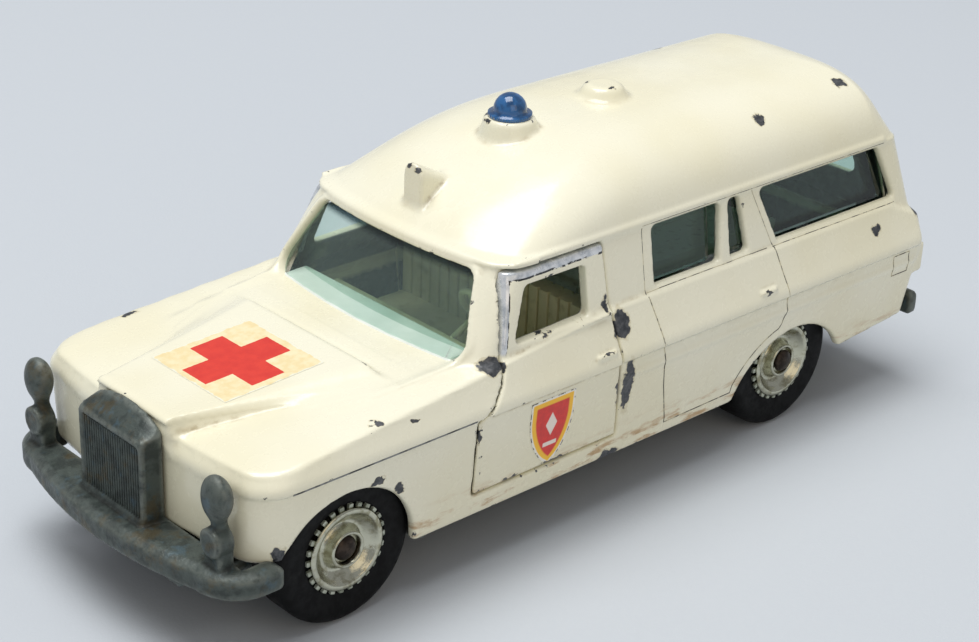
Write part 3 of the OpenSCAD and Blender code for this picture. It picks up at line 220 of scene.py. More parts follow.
def planField(x, y, front, rear, half, bow, rx, ry, rr):
    # plan of the car: bowed front with elliptic corners, straight rear with round ones
    ay = np.abs(y)
    xs = x + bow * np.clip(ay / (half - ry), 0, 1) ** 2
    qx, qy = (xs - front + rx) / rx, (ay - half + ry) / ry
    corner = (np.hypot(np.maximum(qx, 0), np.maximum(qy, 0)) - 1) * np.minimum(rx, ry)
    fore = np.where((qx > 0) & (qy > 0), corner, np.maximum(xs - front, ay - half))
    q1, q2 = rear + rr - x, ay - half + rr
    aft = np.hypot(np.maximum(q1, 0), np.maximum(q2, 0)) + np.minimum(np.maximum(q1, q2), 0) - rr
    return np.maximum(fore, aft)


class Grid:
    def __init__(self, low, high, step, mirrored=False):
        self.step, self.mirrored = step, mirrored
        axes = []
        for i in range(3):
            start = 0.0 if mirrored and i == 1 else low[i]
            axes.append(start + step * np.arange(int(round((high[i] - start) / step)) + 1))
        self.low = np.array([a[0] for a in axes])
        self.x = axes[0][:, None, None]
        self.y = axes[1][None, :, None]
        self.z = axes[2][None, None, :]

    def full(self, field):
        # a half field is mirrored about the middle of the car
        if not self.mirrored:
            return field, self.low
        low = self.low.copy()
        low[1] = -self.step * (field.shape[1] - 1)
        return np.concatenate([field[:, :0:-1, :], field], axis=1), low


corners = list(product((0, 1), repeat=3))


def sampleField(field, low, step, points):
    g = (points - low) / step
    i = np.clip(np.floor(g).astype(int), 0, np.array(field.shape) - 2)
    t = g - i
    value = 0
    for c in corners:
        share = np.prod(np.abs(1 - np.array(c) - t), axis=1)
        value = value + share * field[tuple((i + c).T)]
    return value


def fieldTurn(reader, step, points):
    # differences of what the reader gives, along each axis
    return [reader(points + d) - reader(points - d) for d in np.eye(3) * step]


def fieldSlope(field, low, step, points):
    out = np.stack(fieldTurn(lambda p: sampleField(field, low, step, p), step * 0.6, points), axis=1)
    return out / np.maximum(np.linalg.norm(out, axis=1, keepdims=True), 1e-9)


def skinField(field, low, step):
    # surface nets: one point in each cell that the surface crosses, one quad for each crossed grid edge
    inside = field < 0
    sx, sy, sz = (n - 1 for n in inside.shape)
    count = sum(inside[a:sx + a, b:sy + b, c:sz + c].astype(np.int8) for a, b, c in corners)
    cells = np.argwhere((count > 0) & (count < 8))
    number = np.full(count.shape, -1, dtype=np.int64)
    number[tuple(cells.T)] = np.arange(len(cells))
    corner = {c: field[tuple((cells + c).T)] for c in corners}
    total = np.zeros((len(cells), 3))
    hits = np.zeros(len(cells))
    for axis, p, q in product(range(3), (0, 1), (0, 1)):
        k0, k1 = [p, q], [p, q]
        k0.insert(axis, 0)
        k1.insert(axis, 1)
        f0, f1 = corner[tuple(k0)], corner[tuple(k1)]
        crossed = (f0 < 0) != (f1 < 0)
        spot = np.tile(np.array(k0, dtype=float), (len(cells), 1))
        spot[:, axis] = np.where(crossed, f0 / np.where(crossed, f0 - f1, 1), 0)
        total += spot * crossed[:, None]
        hits += crossed
    points = low + (cells + total / hits[:, None]) * step
    quads = []
    for axis in range(3):
        o1, o2 = [(1, 2), (2, 0), (0, 1)][axis]
        start, end = [slice(None)] * 3, [slice(None)] * 3
        start[axis], end[axis] = slice(0, -1), slice(1, None)
        flips = np.argwhere(inside[tuple(start)] != inside[tuple(end)])
        flips = flips[(flips[:, o1] > 0) & (flips[:, o2] > 0)]
        flips = flips[(flips[:, o1] < number.shape[o1]) & (flips[:, o2] < number.shape[o2])]
        ring = []
        for d1, d2 in ((1, 1), (0, 1), (0, 0), (1, 0)):
            spot = flips.copy()
            spot[:, o1] -= d1
            spot[:, o2] -= d2
            ring.append(number[tuple(spot.T)])
        ring = np.stack(ring, axis=1)
        outward = inside[tuple(start)][tuple(flips.T)]
        quads.append(np.where(outward[:, None], ring, ring[:, ::-1]))
    quads = np.concatenate(quads)
    return points, quads[(quads >= 0).all(axis=1)]


def fieldPiece(name, grid, half, keep, form=None):
    # skins a field, thins flat parts, then takes normals and wear marks from the field itself
    field, low = grid.full(half)
    step = grid.step
    piece = makeMesh(name, *skinField(field, low, step))
    thin = piece.modifiers.new("thin", "DECIMATE")
    thin.ratio = keep
    thin.use_collapse_triangulate = True
    bakeModifiers(piece)
    mesh = piece.data
    flat = np.empty(len(mesh.vertices) * 3)
    mesh.vertices.foreach_get("co", flat)
    points = flat.reshape(-1, 3) / mm

    def slope(spots):
        return fieldSlope(field, low, step, spots)

    smooth(mesh)
    mesh.normals_split_custom_set_from_vertices(slope(points).tolist())
    reach = step * 1.5
    bend = sum(turned[:, axis] / (2 * reach) for axis, turned in enumerate(fieldTurn(slope, reach, points)))
    depth = np.zeros(len(points)) if form is None else -sampleField(grid.full(form)[0], low, step, points)
    # edge and hollow follow the bend of the skin, inner is the unpainted inside of the wall
    for label, value in (("edge", bend * 0.8 - 0.4), ("hollow", -bend * 0.8 - 0.3), ("inner", (depth - 0.85) / 0.2)):
        addMark(mesh, label, "FLOAT", "value", np.clip(value, 0, 1).astype(np.float32))
    print(name, "skinned:", len(mesh.polygons), "faces")
    return piece


# the painted casting: body, doors and tailgate share one form
# tables give plan sizes at heights: half widths, fronts and rears of the lower side and of the sloping deck
car = dict(noseX=47.4, wall=1.2, sillZ=6.6, creaseZ=17.9, beltZ=23.4, railZ=31.0, roofZ=38.9,
           noseBow=1.0, noseRx=4.5, noseRy=3.6, tailR=1.4,
           lowHalf=[(0, 17.05), (6.6, 17.7), (17.9, 18.55), (30, 18.55)],
           lowRear=[(0, -49.2), (6.6, -50.1), (17.9, -51.95), (30, -51.95)],
           deckHalf=[(17, 18.9), (18.7, 18.9), (20.3, 18.2), (23.4, 16.95), (26, 15.9)],
           deckFront=[(17, 47.4), (18.6, 47.4), (20.3, 46.4), (23.4, 4.0), (26, -31.0)],
           deckRear=[(17, -51.6), (21.6, -51.6), (23.4, -47.0), (26, -40.2)],
           cabinBaseZ=20.5, screenX=22.0, headerX=15.2, cabinTailX=-51.3, headerTailX=-49.2,
           cabinHalf=17.1, railHalf=15.3, screenCorner=4.6, cabinR=3.5, cabinTailR=1.2, cabinTailMore=1.4)
# roof: straight half width and its ends at the rail, how they draw in by the crown, reach and fullness of the rounds
roof = dict(flatHalf=2.15, drawHalf=2, round=13.3, bow=11.8, foreX=-2.65, foreDraw=11, fore=18,
            aftX=-41.35, aftDraw=2, aft=8, full=3.7, noseFull=3, square=3, squareMore=4, squareFade=4.4)
# raised hood panel: ends, the half widths of its edge and foot at the screen and what they lose at the nose, its top,
# and the slope of the deck it stands on
hood = dict(rearX=26.2, frontX=47.5, span=20.1, edge=9.0, edgeDraw=3.3, foot=13.6, footDraw=7.2, topZ=23.0,
            rearSoft=0.6, frontSoft=1.6, deckX=46.4, deckZ=20.3, deckRise=3.1, deckRun=42.4)


def levelValues(z, table, soft=0.35):
    # straight runs between levels, with their kinks eased over a short height
    zs, vs = zip(*table)
    return sum(np.interp(z + d * soft, zs, vs) for d in (-1, -0.5, 0, 0.5, 1)) / 5


def carForm(grid):
    # the painted form and the hollow inside it, from the same faces drawn in by the wall
    x, y, z, step, c = grid.x, grid.y, grid.z, grid.step, car
    wall, crease, belt, rail = c["wall"], c["creaseZ"], c["beltZ"], c["railZ"]
    ends = [c[k] for k in ("noseBow", "noseRx", "noseRy", "tailR")]
    lowerSide = planField(x, y, c["noseX"], levelValues(z, c["lowRear"]), levelValues(z, c["lowHalf"]), *ends)
    lower = np.maximum(lowerSide, z - crease - 0.04)

    def upperPlan(lift):
        # the sloping deck; the hollow under it is read a wall higher
        front, rear, half = (levelValues(z + lift, c[k]) for k in ("deckFront", "deckRear", "deckHalf"))
        return toDistance(planField(x, y, front, rear, half, *ends), step)

    upper = np.maximum(upperPlan(0), between(z, crease, belt))
    s = (z - c["cabinBaseZ"]) / (rail - c["cabinBaseZ"])

    def leaning(low, high):
        return c[low] + (c[high] - c[low]) * s

    corner = leaning("screenCorner", "cabinR")
    cabin = planField(x, y, leaning("screenX", "headerX"), leaning("cabinTailX", "headerTailX"),
                      leaning("cabinHalf", "railHalf"), 1.0, corner, corner,
                      c["cabinTailR"] + c["cabinTailMore"] * np.clip(s, 0, 1))
    cabinSide = toDistance(cabin, step)
    cabin = np.maximum(cabinSide, between(z, c["cabinBaseZ"] - 3, rail + 0.05))
    # the roof is a rounded box, fuller at the sides and tail, whose plan corners open up towards the crown
    up = np.maximum(np.clip((z - rail) / (c["roofZ"] - rail), -0.3, 1.4), 0)
    ay = np.abs(y)
    xs = x + np.clip(ay / roof["bow"], 0, 1) ** 2
    u = np.maximum(ay - roof["flatHalf"] + roof["drawHalf"] * up, 0) / roof["round"]
    fore = np.maximum(xs - roof["foreX"] + roof["foreDraw"] * up, 0) / roof["fore"]
    aft = np.maximum(-x + roof["aftX"] + roof["aftDraw"] * up, 0) / roof["aft"]
    power = roof["square"] + roof["squareMore"] * np.exp(-roof["squareFade"] * up)

    def rounded(reach, full):
        across = (u ** power + reach ** power) ** (1 / power)
        return (across ** full + up ** full) ** (1 / full)

    roofSide = toDistance((np.maximum(rounded(aft, roof["full"]), rounded(fore, roof["noseFull"])) - 1) * 12, step)
    top = np.maximum(roofSide, rail - 0.15 - z)
    # the hood panel is crisp at the radiator, its flanks opening and fading towards the screen
    share = np.clip((x - hood["rearX"]) / hood["span"], 0, 1)
    deck = hood["deckZ"] + (hood["deckX"] - x) * hood["deckRise"] / hood["deckRun"]
    edge, foot = hood["edge"] - hood["edgeDraw"] * share, hood["foot"] - hood["footDraw"] * share
    rise = np.clip((foot - ay) / (foot - edge), 0, 1)
    crest = deck - 0.3 + (hood["topZ"] - share - deck) * rise * rise * (3 - 2 * rise)
    panel = np.maximum((z - crest) * 0.9, np.maximum(18 - z, ay - foot))
    panel = blendMax(blendMax(panel, hood["rearX"] - x, hood["rearSoft"]), x - hood["frontX"], hood["frontSoft"])
    form = blendMin(lower, upper, 0.2)
    for part, soften in ((panel, 0.5), (cabin, 0.7), (top, 0.35)):
        form = blendMin(form, part, soften)
    inside = np.minimum.reduce([np.maximum(lowerSide + wall, z - crease - 0.3),
                                np.maximum(upperPlan(wall) + wall, between(z, crease, belt - wall)),
                                np.maximum(cabinSide + wall, between(z, c["cabinBaseZ"] - 2, rail)),
                                np.maximum(roofSide + wall, rail - 0.5 - z)])
    return form, inside


# outlines of the openings: along the car and up for the sides, across and up for the ends
doorOutline = [(19.5, 9.2), (19.5, 17.3), (17.85, 18.5), (16.2, 20.3), (15.6, 21.6), (13.6, 30.5), (0.7, 30.5),
               (-0.6, 9.2)]
doorWindow = [(13.6, 23.4), (11.6, 29.0), (3.2, 29.0), (3.2, 23.7)]
sideWindows = [[(-6.9, 24.1), (-6.9, 30.4), (-17.5, 30.4), (-17.0, 24.1)],
               [(-18.8, 24.1), (-18.8, 30.4), (-20.6, 30.4), (-21.7, 24.1)],
               [(-26.6, 24.1), (-23.8, 30.4), (-44.7, 30.4), (-47.5, 24.1)]]
screenOutline = [(-15.2, 22.1), (15.2, 22.1), (11.8, 30.1), (-11.8, 30.1)]
gateOutline = [(-14, 12), (14, 12), (14, 17.9), (11.2, 32.06), (-11.2, 32.06), (-14, 17.9)]
gateWindow = [(-9.2, 24.1), (9.2, 24.1), (8.0, 29.5), (-8.0, 29.5)]
doorFrontY = 13.9
# the door's pin and the tailgate's: places in plan and in side view
doorAxis = (23.1, 15.6)
gateAxis = (-48.287, 32.2)
gateFrontX = -46.2

# groove: x, z, half length and radius; rods: ends, y, z and radius; bosses: x, heights and radii;
# bead: distance from the screen and radius; brow: z, radius and rear end; gaps and depths at the openings
shell = dict(groove=(25.4, 22.05, 8.4, 0.4), rib=(-50, -1.2, 18.22, 16.1, 0.3), rail=(-45.4, 12.2, 15.25, 31.3, 0.28),
             bosses=((-0.5, 36.7, 39.6, 3.5, 2.7), (-14.4, 36.7, 40.3, 4.3, 2.0)),
             podX=(8.2, 12.9), podHalf=1.5, podTopZ=36.0, podRun=4.2, podDrop=1.5, podDraw=0.6, podFootZ=32,
             bead=(0.5, 0.3), brow=(31.15, 0.32, 9.5), doorGap=0.2, lipDeep=0.55, lipWide=1.0, lipTopZ=21.6,
             gateGap=0.35, knuckleRoom=(1.05, 11.55), post=(27.6, 1.9, 6.9, 21.6),
             bar=((-46.1, -17.7, 8.9), (-41.9, 17.7, 10.3)), arches=((35.6, 6.9, 8.5), (-29.3, 2.65, 10.4)),
             noseSkirtZ=10.75, tailSkirt=[(-29.3, 0), (-29.3, 7.28), (-52.6, 9.1), (-52.6, 0)], screenX=(11, 23),
             lamp=((-52.35, 15.5, 14.0), (-50.5, 18.3, 17.8)), handle=((-24.6, 17.6, 19.2), (-21.9, 18.86, 19.85)))


def makeBody():
    grid = Grid((-53.4, 0, 5.8), (49.2, 19.8, 41.4), 0.3, mirrored=True)
    x, y, z, p = grid.x, grid.y, grid.z, shell
    spot = (x, y, z)
    form, inside = carForm(grid)
    body = blendMax(blendMax(form, -inside, 0.1), car["sillZ"] - z, 0.4)
    # groove behind the hood panel and the rib below the crease of the rear side
    gx, gz, length, r = p["groove"]
    body = blendMax(body, r - np.sqrt((x - gx) ** 2 + (z - gz) ** 2 + np.maximum(y - length, 0) ** 2), 0.25)
    body = blendMin(body, rodField(*spot, *p["rib"]), 0.5)
    # roof bosses, pod and drip rails
    bosses = np.minimum.reduce([frustumField(*spot, *b) for b in p["bosses"]])
    low, high = p["podX"]
    share = np.clip((high - x) / p["podRun"], 0, 1)
    podRise = np.maximum(z - p["podTopZ"] + p["podDrop"] * share, 0)
    podRound = np.hypot(np.abs(y), podRise) - p["podHalf"] + p["podDraw"] * share
    pod = np.maximum(blendMax(podRound, between(x, low, high), 0.3), p["podFootZ"] - z)
    body = blendMin(body, np.maximum(np.minimum(bosses, pod), -inside), 0.5)
    body = blendMin(body, rodField(*spot, *p["rail"]), 0.3)
    # inside post and cross bar that the base is riveted to
    px, r, low, high = p["post"]
    post = np.maximum(np.hypot(x - px, y) - r, between(z, low, high))
    body = np.minimum(body, np.minimum(post, boxField(*spot, *p["bar"], 0.2)))
    # wheel arches with the skirt ends, windows, windscreen
    arches = [np.hypot(x - cx, z - cz) - r for cx, cz, r in p["arches"]]
    arches += [np.maximum(p["arches"][0][0] - x, z - p["noseSkirtZ"]), outlineField(x, z, p["tailSkirt"])]
    body = blendMax(body, -np.minimum.reduce(arches), 0.45)
    body = blendMax(body, -np.minimum.reduce([outlineField(x, z, o, 0.45) for o in sideWindows]), 0.5)
    screen = outlineField(y, z, screenOutline, 1.6)
    back, front = p["screenX"]
    body = blendMax(body, -np.maximum(screen, between(x, back, front)), 0.4)
    # raised bead round the windscreen and the rolled lip under the brow
    away, r = p["bead"]
    body = blendMin(body, np.maximum(np.hypot(screen - away, form) - r, back - x), 0.3)
    browZ, r, back = p["brow"]
    body = blendMin(body, np.maximum(np.hypot(form, z - browZ) - r, back - x), 0.3)
    # door opening, with room behind its front lip for the swing, and tailgate opening with its knuckle groove
    door = outlineField(x, z, doorOutline, 0.3)
    body = blendMax(body, -np.maximum(door - p["doorGap"], doorFrontY - y), 0.32)
    relief = np.maximum(np.maximum(form + p["lipDeep"], outlineField(x - p["lipWide"], z, doorOutline, 0.3)),
                        np.maximum(z - p["lipTopZ"], doorFrontY - y))
    body = np.maximum(body, -relief)
    body = blendMax(body, -np.maximum(outlineField(y, z, gateOutline, 0.6) - p["gateGap"], x - gateFrontX), 0.3)
    r, half = p["knuckleRoom"]
    body = np.maximum(body, -np.maximum(np.hypot(x - gateAxis[0], z - gateAxis[1]) - r, y - half))
    # tail lamp block on the rear corner and the raised handle of the dummy rear door
    body = blendMin(body, boxField(*spot, *p["lamp"], 0.4), 0.3)
    body = blendMin(body, boxField(*spot, *p["handle"], 0.25), 0.25)
    return fieldPiece("bodyCasting", grid, body, 0.5, form)


bodyPiece = makeBody()

# door: how proud the window frame stands and from where, its fit, width, depth, top and rear end of the front lip,
# run of the cranked hinge arm in plan, its heights, the handle
door = dict(proud=0.2, proudZ=22.6, proudRun=0.8, fit=0.03, lip=(0.6, 0.45, 21.0, 11.0),
            arm=[doorAxis, (21.8, 13.69), (19.43, 12.76), (17.88, 14.41), (17.88, 17.15)], armHalf=0.55,
            armZ=(12, 15.4), eyeR=1.0, pinR=0.56, handle=((0.7, 17.6, 19.1), (3.5, 18.85, 19.8)))


def makeDoor():
    grid = Grid((-2.6, 11.6, 8.2), (25.2, 19.6, 31.6), 0.2)
    x, y, z, p = grid.x, grid.y, grid.z, door
    form, inside = carForm(grid)
    proud = form - p["proud"] * np.clip((z - p["proudZ"]) / p["proudRun"], 0, 1)
    skin = blendMax(blendMax(proud, -inside, 0.1), outlineField(x, z, doorOutline, 0.3) - p["fit"], 0.34)
    skin = np.maximum(skin, doorFrontY - y)
    wide, deep, lipZ, lipX = p["lip"]
    stepped = np.maximum(-outlineField(x + wide, z, doorOutline, 0.3), np.maximum(form + deep, z - lipZ))
    skin = np.maximum(skin, -np.maximum(stepped, lipX - x))
    skin = blendMax(skin, -outlineField(x, z, doorWindow, 0.6), 0.3)
    # cranked hinge arm inside the skin, with an eye for the pin
    fromPin = np.hypot(x - doorAxis[0], y - doorAxis[1])
    arm = fromPin - p["eyeR"]
    for a, b in zip(p["arm"], p["arm"][1:]):
        e = (b[0] - a[0], b[1] - a[1])
        t = runShare(x, y, a, e)
        arm = np.minimum(arm, np.hypot(x - a[0] - e[0] * t, y - a[1] - e[1] * t) - p["armHalf"])
    arm = np.maximum(arm, np.maximum(between(z, *p["armZ"]), p["pinR"] - fromPin))
    skin = blendMin(np.minimum(skin, arm), boxField(x, y, z, *p["handle"], 0.25), 0.25)
    return fieldPiece("leftDoor", grid, skin, 0.6, form)


leftDoor = makeDoor()


def mirroredPiece(source, name):
    mesh = source.data.copy()
    mesh.name = name
    owner = np.empty(len(mesh.loops), dtype=int)
    mesh.loops.foreach_get("vertex_index", owner)
    normals = np.zeros((len(mesh.vertices), 3))
    normals[owner] = np.array([tuple(n.vector) for n in mesh.corner_normals])
    mesh.transform(Matrix.Scale(-1, 4, (0, 1, 0)))
    mesh.flip_normals()
    normals[:, 1] *= -1
    mesh.normals_split_custom_set_from_vertices(normals.tolist())
    return linked(name, mesh)


rightDoor = mirroredPiece(leftDoor, "rightDoor")

# tailgate: knuckle and pin radii, half length of the knuckle, the handle
gate = dict(knuckleR=0.7, pinR=0.37, knuckleHalf=11.2, handle=((-52.2, -1.6, 19.1), (-51.0, 1.6, 19.8)))


def makeTailgate():
    grid = Grid((-53.6, 0, 10.8), (-43.6, 15.4, 34.0), 0.2, mirrored=True)
    x, y, z, p = grid.x, grid.y, grid.z, gate
    form, inside = carForm(grid)
    edge = np.maximum(outlineField(y, z, gateOutline, 0.6), x - gateFrontX)
    skin = blendMax(blendMax(form, -inside, 0.1), edge, 0.3)
    skin = blendMax(skin, -outlineField(y, z, gateWindow, 1.2), 0.3)
    fromPin = np.hypot(x - gateAxis[0], z - gateAxis[1])
    skin = blendMin(skin, np.maximum(fromPin - p["knuckleR"], y - p["knuckleHalf"]), 0.2)
    skin = blendMin(skin, boxField(x, y, z, *p["handle"], 0.25), 0.25)
    return fieldPiece("tailgateCasting", grid, np.maximum(skin, p["pinR"] - fromPin), 0.6, form)


tailgatePiece = makeTailgate()

# the bare zinc base with bumpers, radiator and lamps in one casting; boxes are low and high corners,
# lamp parts are given from the lamp's own x and y
base = dict(plate=[((-50.3, -10.1, 5.6), (43.3, 10.1, 6.9)), ((-21.1, -15.9, 5.6), (25.7, 15.9, 6.9)),
                   ((32.2, 8.1, 5.6), (36.8, 10.1, 10.2)), ((-32.2, 8.1, 5.6), (-27.6, 10.1, 10.2))],
            clevis=[((24.4, 14.65, 5.6), (25.5, 16.55, 17.2)), ((22.1, 14.65, 10.2), (25.5, 16.55, 11.7)),
                    ((22.1, 14.65, 15.7), (25.5, 16.55, 17.2))],
            stud=(-44, 7.6, 1.9, 5.6, 8.9), noseBlock=((42.6, -9, 5.6), (48.6, 9, 9.6)),
            bumperPlan=(52.4, 43.65, 19.0, 1.9, 4.6, 5.0, 0.6), bumperZ=9.75, bumperHalf=1.45, bumperBack=(47.2, 17.0),
            bumperBevel=0.6, shellX=(47.52, 50.1), shellRun=2.58, shellHalf=5.55, shellDraw=0.35, shellZ=10.4,
            archZ=19.9, archRise=2.3, frontZ=19.8, face=((49.8, -4.85, 11.6), (51.5, 4.85, 19.4)),
            lamp=(47.3, 15.0), egg=((1.05, 18.1), (1.3, 1.82, 2.35)), girth=(0.06, 18.2),
            neck=(0.85, 0.72, 10.6, 18.2), fog=(13.75, 1.5, 0.1, 2.2), foot=((0.1, -1.3, 10.4), (1.9, 1.3, 12.9)),
            rear=((-52.4, -18.3, 8.2), (-51.2, 18.3, 11.2)), rearEnd=(16.8, 9.7, 0.3, 1.5),
            tongue=((-52.2, -9, 5.6), (-47.2, 9, 8.8)), pipeZ=5.5,
            shaft=(-27, 22, 0, 0.75), silencer=(-24, 14, 8.2, 0.55),
            relief=[((20.5, -3.2, 4.9), (30.5, 3.2, 5.9)), ((-41.5, -6.4, 5.0), (-34, 6.4, 5.9))])


def makeBase():
    grid = Grid((-53.2, 0, 4.8), (53.2, 19.8, 23.2), 0.25, mirrored=True)
    x, y, z, p = grid.x, grid.y, grid.z, base
    plate = np.minimum(boxesField(x, y, z, p["plate"], 0.15), boxesField(x, y, z, p["clevis"], 0.1))
    cx, cy, r, low, high = p["stud"]
    plate = np.minimum(plate, np.maximum(np.hypot(x - cx, y - cy) - r, between(z, low, high)))
    plate = np.minimum(plate, boxField(x, y, z, *p["noseBlock"], 0.2))
    # front bumper: a bowed bar with bevelled edges, open behind
    ring = planField(x, y, *p["bumperPlan"])
    rise = np.abs(z - p["bumperZ"]) - p["bumperHalf"]
    bumper = blendMax(np.maximum(ring + p["bumperBevel"] + rise, ring) * 0.8, rise, 0.5)
    back, wide = p["bumperBack"]
    bumper = blendMax(bumper, -np.maximum(x - back, y - wide), 0.3)
    plate = blendMin(plate, bumper, 0.3)
    # radiator shell: sloping flat top that runs back into an arch at the hood
    back, front = p["shellX"]
    share = np.clip((x - back) / p["shellRun"], 0, 1)
    archTop = p["archZ"] + p["archRise"] * np.sqrt(np.maximum(1 - (y / p["shellHalf"]) ** 2, 0))
    top = archTop * (1 - share) + p["frontZ"] * share
    side = y - (p["shellHalf"] - p["shellDraw"] * share)
    shield = blendMax(np.maximum(side, (z - top) * 0.8), between(x, back, front), 0.45)
    shield = np.maximum(blendMax(shield, -boxField(x, y, z, *p["face"], 0.3), 0.12), p["shellZ"] - z)
    plate = blendMin(plate, shield, 0.35)
    # egg-shaped headlamp on a neck, fog drum and foot below it
    lampX, lampY = x - p["lamp"][0], y - p["lamp"][1]
    (cx, cz), (rx, ry, rz) = p["egg"]
    swell, fromZ = p["girth"]
    ry = ry * (1.0 + swell * (z - fromZ))
    egg = np.sqrt(((lampX - cx) / rx) ** 2 + (lampY / ry) ** 2 + ((z - cz) / rz) ** 2)
    cx, r, low, high = p["neck"]
    neck = np.maximum(np.hypot(lampX - cx, lampY) - r, between(z, low, high))
    cz, r, low, high = p["fog"]
    fog = blendMax(np.hypot(lampY, z - cz) - r, between(lampX, low, high), 0.3)
    foot = boxField(lampX, lampY, z, *p["foot"], 0.35)
    lamps = blendMin(blendMin((egg - 1) * 1.4, neck, 0.5), blendMin(fog, foot, 0.3), 0.35)
    plate = blendMin(plate, lamps, 0.35)
    # rear bumper with round ends, and its tongue
    endY, endZ, half, r = p["rearEnd"]
    ends = np.hypot(np.maximum(y - endY, 0), np.maximum(np.abs(z - endZ) - half, 0)) - r
    rear = blendMax(boxField(x, y, z, *p["rear"], 0.45), ends, 0.2)
    plate = np.minimum(plate, np.minimum(rear, boxField(x, y, z, *p["tongue"], 0.3)))
    # cast relief under the plate: shaft, silencer, sump and tank
    pipes = [np.maximum(np.hypot(y - cy, z - p["pipeZ"]) - r, between(x, low, high))
             for low, high, cy, r in (p["shaft"], p["silencer"])]
    relief = np.minimum(np.minimum(*pipes), boxesField(x, y, z, p["relief"], 0.4))
    return fieldPiece("zincBase", grid, blendMin(plate, relief, 0.4), 0.45)


basePiece = makeBase()
print("castings done")


# smooth copies of CAD nodes that keep their shape

def copiedNode(node, name, smoothAngle, bevel=0.0):
    piece = linked(name, nodes[node].data.copy())
    piece.modifiers.new("weld", "WELD").merge_threshold = 0.002 * mm
    if bevel:
        flat = piece.modifiers.new("flat", "DECIMATE")
        flat.decimate_type = "DISSOLVE"
        flat.angle_limit = math.radians(0.5)
        edge = piece.modifiers.new("edge", "BEVEL")
        edge.width = bevel * mm
        edge.segments = 2
        edge.limit_method = "ANGLE"
        edge.angle_limit = math.radians(30)
        edge.harden_normals = False
    bakeModifiers(piece)
    smooth(piece.data, smoothAngle)
    return piece


glazing = copiedNode("window_glazing", "windowGlazing", 25)
tub = copiedNode("interior_tub", "interiorTub", 35, 0.12)
steering = copiedNode("steering_wheel", "steeringWheel", 40)
stretcher = copiedNode("stretcher", "stretcherBed", 35, 0.15)
beacon = copiedNode("roof_beacon", "roofBeacon", 35)
# the dashboard top drops behind the pale ledge, as in the photograph
dashboard = dict(rearX=12.9, frontX=16.6, topZ=21.4, drop=2.0)
for vertex in tub.data.vertices:
    if dashboard["rearX"] * mm < vertex.co.x < dashboard["frontX"] * mm and vertex.co.z > dashboard["topZ"] * mm:
        vertex.co.z -= dashboard["drop"] * mm
print("copied pieces done")


# wheels: turned profiles, and crimp teeth set round the rim by Geometry Nodes

wheel = dict(axleZ=8.1, segments=96, axles=(("front", 34.5, 16.5), ("rear", -29.9, 16.1)),
             teeth=26, toothRing=4.56, toothDepth=0.24, tooth=(0.56, 0.46, 0.4))


def lathe(name, profile, axleX, faceY, side):
    # the profile runs outwards in (radius, depth), depth 0 at the tyre face
    rows, count = len(profile), wheel["segments"]
    points, faces = [], []
    for i in range(count):
        a = 2 * math.pi * i / count
        for r, d in profile:
            points.append((axleX + r * math.cos(a), side * (faceY + d), wheel["axleZ"] + r * math.sin(a)))
    for i, k in product(range(count), range(rows)):
        j, m = (i + 1) % count, (k + 1) % rows
        ring = (i * rows + k, i * rows + m, j * rows + m, j * rows + k)
        faces.append(ring if side > 0 else ring[::-1])
    piece = makeMesh(name, points, faces)
    piece.data.set_sharp_from_angle(angle=math.radians(50))
    return piece


def arcPoints(cx, cy, rx, ry, start, end, count):
    angles = [math.radians(start + (end - start) * i / count) for i in range(count + 1)]
    return [(cx + rx * math.cos(a), cy + ry * math.sin(a)) for a in angles]


# tyre: rounded shoulders, flat tread, sidewall dished to the rim
tyreProfile = ([(4.13, -5.0), (4.84, -4.95)] + arcPoints(7.0, -4.0, 1.1, 1.0, -90, 0, 8)
               + arcPoints(7.0, -1.0, 1.1, 1.0, 0, 90, 8)
               + [(6.2, -0.12), (5.4, -0.2), (4.84, -0.3), (4.84, -0.55), (4.13, -0.55)])
# hub: dished bowl with a wide polished ring and a raised ring round the axle head
hubProfile = ([(0.96, -5.0), (1.95, -5.0), (1.95, -4.5), (4.1, -4.5), (4.1, -0.5), (4.38, -0.5), (4.4, 0.05)]
              + arcPoints(4.05, 0.02, 0.35, 0.22, 0, 150, 6)
              + [(3.55, -0.28), (3.2, -0.55), (2.85, -0.86), (2.55, -1.02), (2.3, -0.92), (2.08, -0.55), (1.98, -0.1)]
              + arcPoints(1.78, 0.06, 0.2, 0.22, 0, 180, 6) + [(1.5, -0.1), (1.46, -0.36), (0.96, -0.37)])


def newGroup(name, *lengths):
    group = bpy.data.node_groups.new(name, "GeometryNodeTree")
    sockets = [("Geometry", "Geometry")] + [(label, "Float") for label in lengths] + [("Material", "Material")]
    for label, kind in sockets:
        group.interface.new_socket(label, in_out="INPUT", socket_type="NodeSocket" + kind)
    group.interface.new_socket("Geometry", in_out="OUTPUT", socket_type="NodeSocketGeometry")
    add = partial(put, group)
    return group, add, add("NodeGroupInput", out=None).outputs


def endGroup(group, add, shape, given):
    real = add("GeometryNodeRealizeInstances", None, [shape])
    dressed = add("GeometryNodeSetMaterial", None, {"Geometry": real, "Material": given["Material"]})
    add("NodeGroupOutput", None, [dressed])
    return group


def runGroup(piece, group, values):
    modifier = piece.modifiers.new(group.name, "NODES")
    modifier.node_group = group
    for item in group.interface.items_tree:
        if item.in_out == "INPUT" and item.name in values:
            modifier[item.identifier] = values[item.name]
    bakeModifiers(piece)
    smooth(piece.data, 40)
    return piece


